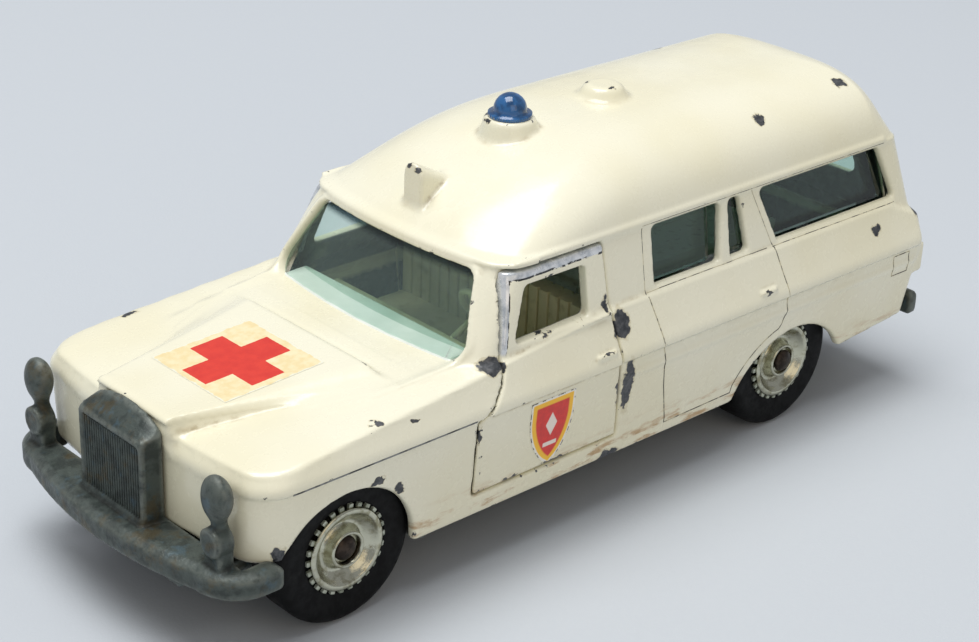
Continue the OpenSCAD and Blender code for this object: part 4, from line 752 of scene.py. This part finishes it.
def toothGroup():
    # one bevelled tooth on each point, turned to the point's own outward direction
    group, add, given = newGroup("toothRing", "Width", "Reach", "Thickness")
    size = add("CombineXYZ", None, [given["Width"], given["Thickness"], given["Reach"]])
    block = add("GeometryNodeMeshCube", None, {"Size": size, "Vertices X": 3, "Vertices Y": 2, "Vertices Z": 3})
    eased = add("GeometryNodeSubdivisionSurface", None, {"Mesh": block, "Level": 1, "Edge Crease": 0.55})
    outward = add("GeometryNodeInputNamedAttribute", {"data_type": "FLOAT_VECTOR"}, {"Name": "outward"})
    turn = add("FunctionNodeAlignRotationToVector", {"axis": "Z", "pivot_axis": "Y"}, {"Vector": outward})
    spread = add("GeometryNodeInstanceOnPoints", None,
                 {"Points": given["Geometry"], "Instance": eased, "Rotation": turn})
    return endGroup(group, add, spread, given)


def sweepGroup():
    # a round bead along each run of edges
    group, add, given = newGroup("sweptBead", "Radius")
    path = add("GeometryNodeMeshToCurve", None, {"Mesh": given["Geometry"]})
    ring = add("GeometryNodeCurvePrimitiveCircle", None, {"Resolution": 8, "Radius": given["Radius"]})
    swept = add("GeometryNodeCurveToMesh", None, {"Curve": path, "Profile Curve": ring, "Fill Caps": True})
    return endGroup(group, add, swept, given)


# materials: colours let in over each other by noise of a real size, in millimetres

soft = {"interpolation_type": "SMOOTHSTEP"}


def newSurface(name):
    material = bpy.data.materials.new(name)
    material.use_nodes = True
    material.node_tree.nodes.clear()
    add = partial(put, material.node_tree)
    spot = add("TexCoord", None, None, "Object")
    return material, add, add("VectorMath", "SCALE", {0: spot, "Scale": 1000.0})


def patches(add, place, size, low, high, detail=4.0):
    # cloudy patches about size mm across, 0 where the noise is under low and 1 where it is over high
    cloud = add("TexNoise", None, {"Vector": place, "Scale": 1 / size, "Detail": detail, "Roughness": 0.62})
    return add("MapRange", soft, [cloud, low, high])


def lay(add, under, over, mask, amount=1.0):
    # one colour laid on another where the mask lets it in
    share = add("Math", "MULTIPLY", [mask, amount])
    under, over = (hexColor(c) if isinstance(c, str) else c for c in (under, over))
    return add("Mix", {"data_type": "RGBA"}, {0: share, 6: under, 7: over}, 2)


def mark(add, name):
    return add("Attribute", {"attribute_name": name}, None, "Fac")


def finishSurface(add, inputs, height, depth, strength=0.4):
    inputs["Normal"] = add("Bump", None, {"Height": height, "Distance": depth * mm, "Strength": strength})
    add("OutputMaterial", None, {"Surface": add("BsdfPrincipled", None, inputs)})


def plainSurface(name, base, layers, rough, inputs=None, grain=(0.4, 0.03)):
    # layers: colour, patch size in mm, noise where it starts and is full, amount, wear mark it follows if any;
    # rough: roughness of clean and of cloudy places; grain: size and depth of the skin in mm
    material, add, place = newSurface(name)
    color = hexColor(base)
    for over, size, low, high, amount, *follows in layers:
        mask = patches(add, place, size, low, high)
        if follows:
            mask = add("Math", "MULTIPLY", [mask, mark(add, follows[0])])
        color = lay(add, color, over, mask, amount)
    cloud = patches(add, place, 1.1, 0.35, 0.68)
    roughness = add("MapRange", None, [cloud, 0.0, 1.0, rough[0], rough[1]])
    finishSurface(add, {"Base Color": color, "Roughness": roughness, **(inputs or {})},
                  patches(add, place, grain[0], 0.2, 0.8), grain[1])
    return material


# places where the paint has chipped off: centre and half sizes, from the photograph on the left, hood and roof
bodyChips = [(16.9, 17.0, 22.3, 1.2, 1.3, 0.75), (-0.9, 17.2, 21.7, 1.0, 1.5, 1.5), (-1.5, 18.3, 15.0, 0.75, 1.0, 3.1),
             (-26.9, 11.8, 36.8, 0.8, 0.9, 0.55), (-42.3, 10.6, 37.5, 0.9, 0.9, 0.5),
             (-43.0, 17.8, 21.4, 0.75, 0.9, 0.5), (0.2, 17.7, 6.9, 1.5, 0.9, 0.65), (31.9, 17.3, 21.2, 0.7, 0.5, 0.25),
             (27.7, 18.2, 20.4, 0.6, 0.4, 0.2), (32.3, 18.4, 15.5, 0.9, 0.7, 0.4), (29.5, 18.2, 13.8, 0.5, 0.6, 0.6),
             (43.6, 17.9, 11.6, 0.6, 1.2, 0.9), (12.9, 0.9, 37.0, 0.5, 0.7, 0.35), (12.7, -0.8, 37.1, 0.4, 0.5, 0.3),
             (-14.0, 1.6, 40.3, 0.5, 0.25, 0.3), (-13.4, -1.5, 40.3, 0.3, 0.5, 0.3), (0.9, -2.4, 39.5, 0.9, 0.6, 0.3),
             (2.1, -0.9, 39.4, 0.4, 0.9, 0.3), (-22.8, 18.85, 19.5, 0.9, 0.3, 0.16), (-51.2, 16.9, 21.6, 1.1, 1.1, 0.6),
             (-20.0, -18.6, 18.3, 1.2, 0.5, 0.4), (36.0, -17.4, 21.0, 0.9, 0.6, 0.4),
             (-34.0, -10.0, 37.4, 0.9, 0.8, 0.5), (-50.9, -15.0, 14.0, 0.7, 0.9, 0.5)]
doorChips = [(0.9, 16.4, 23.9, 0.5, 0.9, 1.2), (0.0, 17.4, 21.6, 0.5, 1.3, 1.2), (-0.3, 18.3, 15.4, 0.35, 0.9, 2.4),
             (9.4, 16.3, 23.3, 0.9, 0.7, 0.22), (4.6, 16.3, 23.3, 0.6, 0.7, 0.16), (19.4, 18.4, 15.9, 0.25, 0.5, 0.9),
             (2.0, 18.8, 19.7, 1.0, 0.25, 0.12), (8.0, 17.9, 9.3, 2.2, 0.4, 0.16), (14.6, 17.9, 9.4, 1.2, 0.4, 0.14),
             (15.8, 17.0, 21.8, 0.6, 0.8, 0.5)]
gateChips = [(-51.7, 3.0, 19.6, 0.5, 1.2, 0.3), (-51.6, -9.0, 18.2, 0.5, 1.3, 0.35), (-50.6, 12.5, 24.5, 0.5, 0.5, 0.9),
             (-51.2, 6.0, 12.3, 0.5, 1.6, 0.25)]
# silver foil on the door's window frame: its top edge, the slope and place of its front edge, width, spread of black
foilTrim = dict(topZ=30.5, slope=(0.9757, 0.0, 0.2193), front=19.957, frontShare=1.5, width=0.73, above=(22.6, 23.1))


def foilMarks(add, place, drift, height):
    # where the foil lies along the top and front of the window frame, and the broken black line at its inner edge
    bent = add("VectorMath", "MULTIPLY_ADD", [drift, (0.22, 0.22, 0.22), place])
    top = add("VectorMath", "DOT_PRODUCT", [bent, (0.0, 0.0, 1.0)], 1)
    top = add("Math", "SUBTRACT", [foilTrim["topZ"], top])
    front = add("VectorMath", "DOT_PRODUCT", [bent, foilTrim["slope"]], 1)
    front = add("Math", "SUBTRACT", [foilTrim["front"], front])
    front = add("Math", "MULTIPLY", [front, foilTrim["frontShare"]])
    inward = add("Math", "MINIMUM", [top, front])
    above = add("MapRange", soft, [height, *foilTrim["above"]])
    foil = add("MapRange", soft, [inward, 0.78, 0.71])
    away = add("Math", "ABSOLUTE", [add("Math", "SUBTRACT", [inward, foilTrim["width"]])])
    black = add("MapRange", soft, [away, 0.14, 0.07])
    black = add("Math", "MULTIPLY", [black, patches(add, place, 1.1, 0.44, 0.5)])
    return [add("Math", "MULTIPLY", [part, above]) for part in (foil, black)]


def enamelSurface(name, chips, trimmed=False):
    # glossy ivory stove enamel: yellowed dirt and painted shade in the hollows, rubbed on edges, chipped to dark zinc,
    # stained at the sill, bare inside, and on the doors edged with bright silver foil
    material, add, place = newSurface(name)
    drift = add("TexNoise", None, {"Vector": place, "Scale": 1.1, "Detail": 3.0}, "Color")
    drift = add("VectorMath", "SUBTRACT", [drift, (0.5, 0.5, 0.5)])
    warped = add("VectorMath", "MULTIPLY_ADD", [drift, (1.5, 1.5, 1.5), place])
    nearest = 9.0
    for chip in chips:
        off = add("VectorMath", "SUBTRACT", [warped, chip[:3]])
        off = add("VectorMath", "DIVIDE", [off, chip[3:]])
        nearest = add("Math", "MINIMUM", [nearest, add("VectorMath", "LENGTH", [off], 1)])
    flaked = add("MapRange", soft, [nearest, 1.06, 0.94])
    # small nicks sit on the sharp edges only
    nick = add("TexNoise", None, {"Vector": place, "Scale": 0.8, "Detail": 4.0, "Roughness": 0.6})
    nick = add("Math", "MULTIPLY_ADD", [mark(add, "edge"), 0.14, nick])
    bare = add("Math", "MAXIMUM", [flaked, add("MapRange", soft, [nick, 0.77, 0.8])])
    paint = lay(add, "#f3efd8", "#eee8cb", patches(add, place, 22, 0.35, 0.65, 2.0))
    # ochre dirt laid in the hollows, which also paints the shade that falls in the creases
    dirtAndShade = add("Math", "MULTIPLY", [mark(add, "hollow"), patches(add, place, 1.4, 0.35, 0.7)])
    paint = lay(add, paint, "#9c8552", dirtAndShade, 0.65)
    height = add("SeparateXYZ", None, [place], 2)
    streak = add("VectorMath", "MULTIPLY", [place, (0.22, 0.4, 0.9)])
    stain = add("MapRange", soft, [height, 11.2, 7.6])
    stain = add("Math", "MULTIPLY", [stain, patches(add, streak, 1.0, 0.5, 0.66, 5.0)])
    paint = lay(add, paint, "#b0813c", stain, 0.8)
    paint = lay(add, paint, "#b7a778", add("MapRange", soft, [nearest, 1.3, 1.1]), 0.35)
    color = lay(add, paint, lay(add, "#33363a", "#5f6062", patches(add, place, 0.5, 0.35, 0.7)), bare)
    inner = lay(add, "#5b5d5a", "#7a7a72", patches(add, place, 3.0, 0.4, 0.65))
    color = lay(add, color, inner, mark(add, "inner"))
    metal = add("Math", "MULTIPLY", [bare, 0.3])
    rough = add("MapRange", None, [patches(add, place, 2.0, 0.3, 0.7), 0.0, 1.0, 0.2, 0.32])
    rough = add("Math", "MULTIPLY_ADD", [bare, 0.25, rough])
    if trimmed:
        foil, black = foilMarks(add, place, drift, height)
        color = lay(add, color, lay(add, "#e6e8ea", "#bcc2c8", patches(add, place, 1.2, 0.4, 0.65)), foil)
        color = lay(add, color, "#1d1f22", black)
        shine = add("Math", "SUBTRACT", [foil, black])
        metal = add("Math", "MAXIMUM", [metal, add("Math", "MULTIPLY", [shine, 0.4])])
    relief = add("Math", "MULTIPLY_ADD", [patches(add, place, 1.3, 0.2, 0.8, 2.0), 0.25, 1.0])
    relief = add("Math", "SUBTRACT", [relief, bare])
    finishSurface(add, {"Base Color": color, "Roughness": rough, "Metallic": metal, "Coat Weight": 0.25,
                         "Coat Roughness": 0.12}, relief, 0.06, 0.5)
    return material


bodyPaint = enamelSurface("ivoryEnamelBody", bodyChips)
doorPaint = enamelSurface("ivoryEnamelDoor", doorChips, trimmed=True)
gatePaint = enamelSurface("ivoryEnamelGate", gateChips)
# bare zinc gone dull: blue-grey mottling, olive and brown tarnish, soot and painted shade in the corners, edges rubbed
# pale
zincLook = plainSurface("tarnishedZinc", "#4d5551", [
    ("#333937", 1.5, 0.4, 0.62, 0.8), ("#544930", 2.4, 0.52, 0.66, 0.6), ("#4d6470", 2.0, 0.56, 0.7, 0.5),
    # the near-black layer on the hollow mark is soot and painted shade in the corners
    ("#868b83", 0.8, 0.25, 0.6, 0.5, "edge"), ("#1b1c19", 0.8, 0.2, 0.5, 0.7, "hollow")],
    (0.34, 0.52), {"Metallic": 0.2, "Specular IOR Level": 0.3}, (0.6, 0.1))


def glazingSurface():
    # clear styrene, green-blue where it is thick or turned away, a thin film of dust, a painted shadow under the brow,
    # gloss at a low angle
    material, add, place = newSurface("tintedStyrene")
    split = add("SeparateXYZ", None, [place], None).outputs
    screen = add("MapRange", soft, [split[0], 10.0, 13.0])
    facing = add("LayerWeight", None, {"Blend": 0.5}, "Facing")
    tint = lay(add, "#d6e8e0", "#eff8f3", screen)
    tint = lay(add, tint, "#d2e6e0", patches(add, place, 9, 0.4, 0.7), 0.3)
    tint = lay(add, tint, "#4d747c", add("Math", "POWER", [facing, 5.0]), 0.6)
    # painted shadow along the top of the windscreen, under the brow
    browShadow = add("Math", "MULTIPLY", [screen, add("MapRange", soft, [split[2], 29.0, 29.8])])
    tint = lay(add, tint, "#4a6268", browShadow)
    gloss = add("Math", "MULTIPLY_ADD", [add("Math", "POWER", [facing, 4.0]), 0.5, 0.035])
    smear = add("MapRange", None, [patches(add, place, 2.5, 0.4, 0.7), 0.0, 1.0, 0.03, 0.14])
    haze = add("MapRange", None, [screen, 0.0, 1.0, 0.008, 0.036])
    clear = add("BsdfTransparent", None, {"Color": tint})
    dusty = add("BsdfDiffuse", None, {"Color": hexColor("#d4f3f4")})
    clear = add("MixShader", None, [haze, clear, dusty])
    shine = add("BsdfGlossy", None, {"Color": (1, 1, 1, 1), "Roughness": smear})
    add("OutputMaterial", None, {"Surface": add("MixShader", None, [gloss, clear, shine])})
    return material


glassLook = glazingSurface()
# polythene moulding: warm cream, grey-green dirt settled in patches
creamLook = plainSurface("creamPolythene", "#e6e0b8", [
    ("#d6cf9f", 8, 0.35, 0.65, 0.7), ("#8d8458", 2, 0.52, 0.72, 0.35)], (0.32, 0.5))
# white styrene: clean and a little yellow
whiteLook = plainSurface("whiteStyrene", "#eeece2", [
    ("#e0dccb", 8, 0.35, 0.65, 0.7), ("#a8a07f", 2, 0.55, 0.72, 0.2)], (0.26, 0.42))
# pale ledge: the white moulding that shows mint through the screen
ledgeLook = plainSurface("paleStyrene", "#f2f5ee", [("#dfe6dc", 6, 0.4, 0.65, 0.6)], (0.3, 0.45))
# blue styrene dome: deep and clear, darker clouds, worn edge
blueLook = plainSurface("blueStyrene", "#2a639a", [("#12385f", 1.6, 0.42, 0.62, 0.8)], (0.08, 0.2),
                        {"Coat Weight": 0.5}, (0.8, 0.02))
# black rubber with grey dust
rubberLook = plainSurface("blackRubber", "#060607", [("#030303", 3, 0.4, 0.6, 0.8), ("#2c2e2a", 1.6, 0.58, 0.78, 0.25)],
                          (0.5, 0.7), {"Specular IOR Level": 0.2})
# plated zinc: pale polished metal with straw-brown bloom
platedLook = plainSurface("platedZinc", "#c2c1ae", [("#6f6438", 1.3, 0.46, 0.66, 0.6)], (0.1, 0.26), {"Metallic": 1.0})
# crimped zinc teeth: dull green-white
toothLook = plainSurface("crimpedZinc", "#c3c9bb", [("#6f7763", 0.7, 0.42, 0.62, 0.7)], (0.4, 0.6), {"Metallic": 0.3})
# browned steel axle ends: dark with rust
axleLook = plainSurface("brownedSteel", "#453b33", [("#241d18", 1.0, 0.4, 0.6, 0.8)], (0.3, 0.5), {"Metallic": 0.8})
# drawn steel wire: grey with rust specks
wireLook = plainSurface("steelWire", "#9c9a92", [("#5a5245", 1.0, 0.45, 0.65, 0.6)], (0.3, 0.5), {"Metallic": 0.9})
# grime and painted shade in the engraved panel lines: broken brown-black beads
grimeAndShadeLineLook = plainSurface("grimeAndPaintedShadeLine", "#37342c", [("#cfc6a6", 1.7, 0.46, 0.58, 0.9)], (0.55, 0.7))
# silver line on the fender, worn through to grey
trimLook = plainSurface("wornSilverTrim", "#8d8f8f", [("#3b3b39", 1.8, 0.45, 0.58, 0.85)], (0.3, 0.5),
                        {"Metallic": 0.4})
print("materials made")

for piece, look, body, slot, node in (
        (bodyPiece, bodyPaint, "car", "ivory_enamel", "body_shell"),
        (leftDoor, doorPaint, "left_door", "ivory_enamel", "left_front_door"),
        (rightDoor, doorPaint, "right_door", "ivory_enamel", "right_front_door"),
        (tailgatePiece, gatePaint, "rear_gate", "ivory_enamel", "tailgate"),
        (basePiece, zincLook, "car", "bare_zinc", "base_casting"),
        (glazing, glassLook, "car", "tinted_glazing", "window_glazing"),
        (tub, creamLook, "car", "cream_plastic", "interior_tub"),
        (steering, creamLook, "car", "cream_plastic", "steering_wheel"),
        (stretcher, whiteLook, "car", "white_plastic", "stretcher"),
        (beacon, blueLook, "car", "blue_plastic", "roof_beacon")):
    wear(piece, look, body, slot, node)
# axles, pins and rivets show their CAD shape
for name, obj in nodes.items():
    look = axleLook if name.endswith("_axle") else wireLook if name.endswith(("_pin", "_rivets")) else None
    if look:
        obj.data.materials.clear()
        obj.data.materials.append(look)

teeth = toothGroup()
turns = [2 * math.pi * i / wheel["teeth"] for i in range(wheel["teeth"])]
spokes = [(math.cos(a), 0.0, math.sin(a)) for a in turns]
toothSize = {key: length * mm for key, length in zip(("Width", "Reach", "Thickness"), wheel["tooth"])}
for (end, axleX, faceY), (hand, side) in product(wheel["axles"], (("left", 1), ("right", -1))):
    stem, camel = end + "_" + hand, end + hand.capitalize()
    body = stem + "_wheel"
    wear(lathe(camel + "Tyre", tyreProfile, axleX, faceY, side), rubberLook, body, "black_tyre", stem + "_tyre")
    wear(lathe(camel + "Hub", hubProfile, axleX, faceY, side), platedLook, body, "plated_hub", stem + "_hub")
    r = wheel["toothRing"]
    ring = [(axleX + r * u, side * (faceY - wheel["toothDepth"]), wheel["axleZ"] + r * v) for u, _, v in spokes]
    rim = makeMesh(camel + "Teeth", ring, [])
    addMark(rim.data, "outward", "FLOAT_VECTOR", "vector", [c for s in spokes for c in s])
    wear(runGroup(rim, teeth, {**toothSize, "Material": toothLook}), toothLook, body, "plated_hub")
print("wheels done")

# pale ledge between the dashboard and the foot of the windscreen, kept behind the outer face of the form
ledge = dict(box=((16.0, -13.4, 20.3), (21.6, 13.4, 22.3)), behind=0.6)


def makeLedge():
    grid = Grid((15, -14, 19.8), (22.2, 14, 23.0), 0.2)
    block = boxField(grid.x, grid.y, grid.z, *ledge["box"], 0.15)
    return fieldPiece("dashLedge", grid, np.maximum(block, carForm(grid)[0] + ledge["behind"]), 0.3)


wear(makeLedge(), ledgeLook, "car", "cream_plastic")


# panel lines and trim are draped on the castings, then swept

def castOn(piece):
    mesh = piece.data
    return BVHTree.FromPolygons([v.co.copy() for v in mesh.vertices], [tuple(p.vertices) for p in mesh.polygons])


bodyTree = castOn(bodyPiece)
doorTree = castOn(leftDoor)
inwards, downwards = Vector((0, -1, 0)), Vector((0, 0, -1))
# rays start beside or above the car; a hit further in than the walls is seen through an opening
besideY, aboveZ, wallY = 30, 40, 12


def splitRun(outline, step=0.4):
    run = []
    for a, b in zip(outline, outline[1:]):
        count = max(1, int(math.dist(a, b) / step))
        run += [(a[0] + (b[0] - a[0]) * i / count, a[1] + (b[1] - a[1]) * i / count) for i in range(count)]
    return run + [outline[-1]]


bead = sweepGroup()


def sideLines(name, outlines, radius, material, sink):
    # lines drawn in side view lie on both sides of the body, broken where an opening is
    for end, side in (("Left", 1), ("Right", -1)):
        points, edges = [], []
        for outline in outlines:
            last = None
            for x, z in splitRun(outline):
                hit = bodyTree.ray_cast(Vector((x, besideY, z)) * mm, inwards)[0]
                if hit is None or hit.y < wallY * mm:
                    last = None
                    continue
                points.append((hit.x / mm, side * (hit.y / mm - sink), hit.z / mm))
                if last is not None:
                    edges.append((last, len(points) - 1))
                last = len(points) - 1
        piece = makeMesh(name + end, points, [], edges)
        wear(runGroup(piece, bead, {"Radius": radius * mm, "Material": material}), material, "car", "ivory_enamel")


rearDoorLine = ([(-25.6, 23.7), (-26.2, 20.4), (-26.6, 18.3), (-26.9, 16.2), (-26.4, 14.6)]
                + arcPoints(-29.3, 2.65, 11.9, 11.9, 74, 32, 10)
                + [(-19.0, 8.1), (-8.3, 8.0), (-8.3, 8.6), (-7.4, 13.0), (-6.9, 17.0), (-6.3, 18.6), (-5.9, 21.0),
                   (-5.4, 23.4)])
flapLine = [(-46.2, 14.9), (-46.0, 17.5), (-48.9, 17.5), (-49.1, 14.9), (-46.2, 14.9)]
pillarLines = [[(-5.2, 30.8), (-5.2, 23.6)], [(-22.4, 30.8), (-25.5, 23.8)], [(-5.2, 30.95), (-45.4, 30.95)]]
windowLines = [[(-5.2, 23.75), (-24.5, 23.75)], [(-25.4, 23.7), (-47.2, 23.6)]]
# the dark beads paint the shade and grime of the engraved lines
sideLines("rearDoorLine", [rearDoorLine, flapLine], 0.075, grimeAndShadeLineLook, 0.03)
sideLines("pillarLine", pillarLines, 0.045, grimeAndShadeLineLook, 0.02)
sideLines("fenderTrim", [[(42.6, 18.05), (20.2, 18.05)]], 0.14, trimLook, 0.06)
sideLines("windowLine", windowLines, 0.05, grimeAndShadeLineLook, 0.03)
# upright bars in the radiator face
grille = dict(x=49.82, foot=11.75, top=19.25, outer=-4.4, pitch=0.4, count=23, radius=0.15)
barEnds = [(grille["x"], grille["outer"] + grille["pitch"] * i, grille[end])
           for i in range(grille["count"]) for end in ("foot", "top")]
bars = makeMesh("grilleBars", barEnds, [], [(i, i + 1) for i in range(0, len(barEnds), 2)])
wear(runGroup(bars, bead, {"Radius": grille["radius"] * mm, "Material": zincLook}), zincLook, "car", "bare_zinc")
print("lines swept")


# decals: generic designs on thin sheets laid on the paint

decalLift = 0.03


def layOn(skin, start, heading):
    hit = skin.ray_cast(Vector(start) * mm, heading)
    return (hit[0] + hit[1] * decalLift * mm) / mm


def sheet(name, rows, drop, marks):
    # rows of plan points are laid on the casting, marks are point values for the material
    width = len(rows[0])
    spots = [spot for row in rows for spot in row]
    faces = []
    for i, j in product(range(len(rows) - 1), range(width - 1)):
        a = i * width + j
        faces.append((a, a + 1, a + width + 1, a + width))
    piece = makeMesh(name, [drop(u, v) for u, v in spots], faces)
    for key, rule in marks.items():
        addMark(piece.data, key, "FLOAT", "value", [rule(u, v) for u, v in spots])
    return piece


# paper on the hood: middle and half sizes, reach and half width of the arms of the plus and its middle
transfer = dict(middle=(35.3, 0.45), half=(5.95, 6.1), plusMiddle=(35.4, 0.45), reach=5.1, arm=1.95, rows=91)


def hoodDecalSurface():
    # yellowed paper transfer with a plain red plus, thin at the corners
    material, add, place = newSurface("paperTransferHood")
    tint = patches(add, place, 1.1, 0.25, 0.75)
    paper = lay(add, "#f6e8bd", "#f0dba6", patches(add, place, 1.1, 0.35, 0.65))
    torn = add("Math", "MULTIPLY_ADD", [tint, 0.25, mark(add, "border")])
    paper = lay(add, paper, "#f1efdb", add("MapRange", soft, [torn, 0.3, 0.24]))
    inked = add("Math", "MULTIPLY_ADD", [patches(add, place, 0.4, 0.3, 0.7), 0.04, mark(add, "plus")])
    red = lay(add, "#e23c2a", "#d62f24", tint)
    color = lay(add, paper, red, add("MapRange", soft, [inked, 0.06, 0.0]))
    finishSurface(add, {"Base Color": color, "Roughness": 0.35, "Coat Weight": 0.2}, tint, 0.02, 0.3)
    return material


def plusField(x, y):
    u, v = abs(x - transfer["plusMiddle"][0]), abs(y - transfer["plusMiddle"][1])
    reach, arm = transfer["reach"], transfer["arm"]
    return min(max(u - reach, v - arm), max(u - arm, v - reach))


def borderField(x, y):
    return min(half - abs(at - mid) for at, mid, half in zip((x, y), transfer["middle"], transfer["half"]))


(midX, midY), (halfX, halfY) = transfer["middle"], transfer["half"]
shares = [2 * i / (transfer["rows"] - 1) - 1 for i in range(transfer["rows"])]
hoodDecal = sheet("hoodTransfer", [[(midX + halfX * a, midY + halfY * b) for a in shares] for b in shares],
                  lambda x, y: tuple(layOn(bodyTree, (x, y, aboveZ), downwards)),
                  {"plus": plusField, "border": borderField})
wear(hoodDecal, hoodDecalSurface(), "car", "ivory_enamel")

# door shield: middle, foot, height and half width, the lozenge and the bar under it
shield = dict(x=9.4, foot=9.6, tall=7.6, half=3.1, lozengeZ=14.0, lozenge=(0.8, 1.35), barZ=11.7, bar=(0.95, 0.24),
              rows=60, columns=20)


def shieldHalf(v):
    # half width of the shield at height v, 0 at its foot and 1 at its top
    return shield["half"] * (1 - (1 - min(1.0, 0.03 + v / 0.72)) ** 1.7) ** 0.62


def shieldRim(u, v):
    share = (v - shield["foot"]) / shield["tall"]
    slope = abs(shieldHalf(min(1, share + 0.02)) - shieldHalf(max(0, share - 0.02))) / (0.04 * shield["tall"])
    return min((shieldHalf(share) - abs(u)) / math.hypot(1, slope), shield["foot"] + shield["tall"] - v)


def shieldMark(u, v):
    # a plain white lozenge over a short bar
    lozenge = abs(u) / shield["lozenge"][0] + abs(v - shield["lozengeZ"]) / shield["lozenge"][1] - 1
    bar = max(abs(u) - shield["bar"][0], abs(v - shield["barZ"]) - shield["bar"][1])
    return min(lozenge * 0.6, bar)


def shieldSurface():
    # cracked waterslide transfer: white edge, yellow border, red field, a white lozenge
    material, add, place = newSurface("waterslideTransferDoor")
    tint = patches(add, place, 0.7, 0.25, 0.75)
    rim = mark(add, "rim")
    color = lay(add, "#f3efe2", "#ffc41c", add("MapRange", soft, [rim, 0.24, 0.32]))
    color = lay(add, color, lay(add, "#e62614", "#d01a10", tint), add("MapRange", soft, [rim, 0.7, 0.95]))
    color = lay(add, color, "#f3e6da", add("MapRange", soft, [mark(add, "mark"), 0.05, -0.05]))
    crack = add("MapRange", soft, [rim, 0.14, 0.08])
    crack = add("Math", "MULTIPLY", [crack, patches(add, place, 0.6, 0.5, 0.54)])
    color = lay(add, color, "#2b2a26", crack)
    finishSurface(add, {"Base Color": color, "Roughness": 0.32, "Coat Weight": 0.2}, tint, 0.02, 0.3)
    return material


def shieldRows(side):
    rows = []
    for i in range(shield["rows"] + 1):
        v = i / shield["rows"]
        across = [1 - j / shield["columns"] for j in range(2 * shield["columns"] + 1)]
        rows.append([(side * shieldHalf(v) * a, shield["foot"] + shield["tall"] * v) for a in across])
    return rows


def layShield(side):
    def drop(u, v):
        x, y, z = layOn(doorTree, (shield["x"] + u, besideY, v), inwards)
        return (x, side * y, z)
    return drop


shieldLook = shieldSurface()
for hand, side in (("left", 1), ("right", -1)):
    decal = sheet(hand + "DoorTransfer", shieldRows(side), layShield(side), {"rim": shieldRim, "mark": shieldMark})
    wear(decal, shieldLook, hand + "_door", "ivory_enamel")
print("decals laid")

# floor and light: name, place in metres, size, power and tint of each lamp
stage = dict(reach=900, world="#e9ecf2", strength=0.42, floor="#c4c9ce", aim=(0, 0, 0.02),
             lamps=(("keyLight", (0.12, -0.1, 1.0), 0.7, 9.4, "#fdfeff"),
                    ("fillLight", (0.3, 0.95, 0.5), 0.8, 1.5, "#ffe9c8")))


def addStage():
    r = stage["reach"]
    floor = makeMesh("studioFloor", [(-r, -r, 0), (r, -r, 0), (r, r, 0), (-r, r, 0)], [(0, 1, 2, 3)])
    # plain pale cloth, dull all over
    floor.data.materials.append(plainSurface("clothFloor", stage["floor"], [], (0.8, 0.9)))
    scene = bpy.context.scene
    world = bpy.data.worlds.new("studio")
    world.use_nodes = True
    scene.world = world
    sky = world.node_tree.nodes["Background"].inputs
    sky["Color"].default_value = hexColor(stage["world"])
    sky["Strength"].default_value = stage["strength"]
    for name, place, size, power, tint in stage["lamps"]:
        lamp = bpy.data.lights.new(name, "AREA")
        lamp.size = size
        lamp.energy = power
        lamp.color = hexColor(tint)[:3]
        obj = linked(name, lamp)
        obj.location = place
        obj.rotation_euler = (Vector(stage["aim"]) - Vector(place)).to_track_quat("-Z", "Y").to_euler()
    scene.view_settings.view_transform = "Standard"


addStage()
print("stage set")
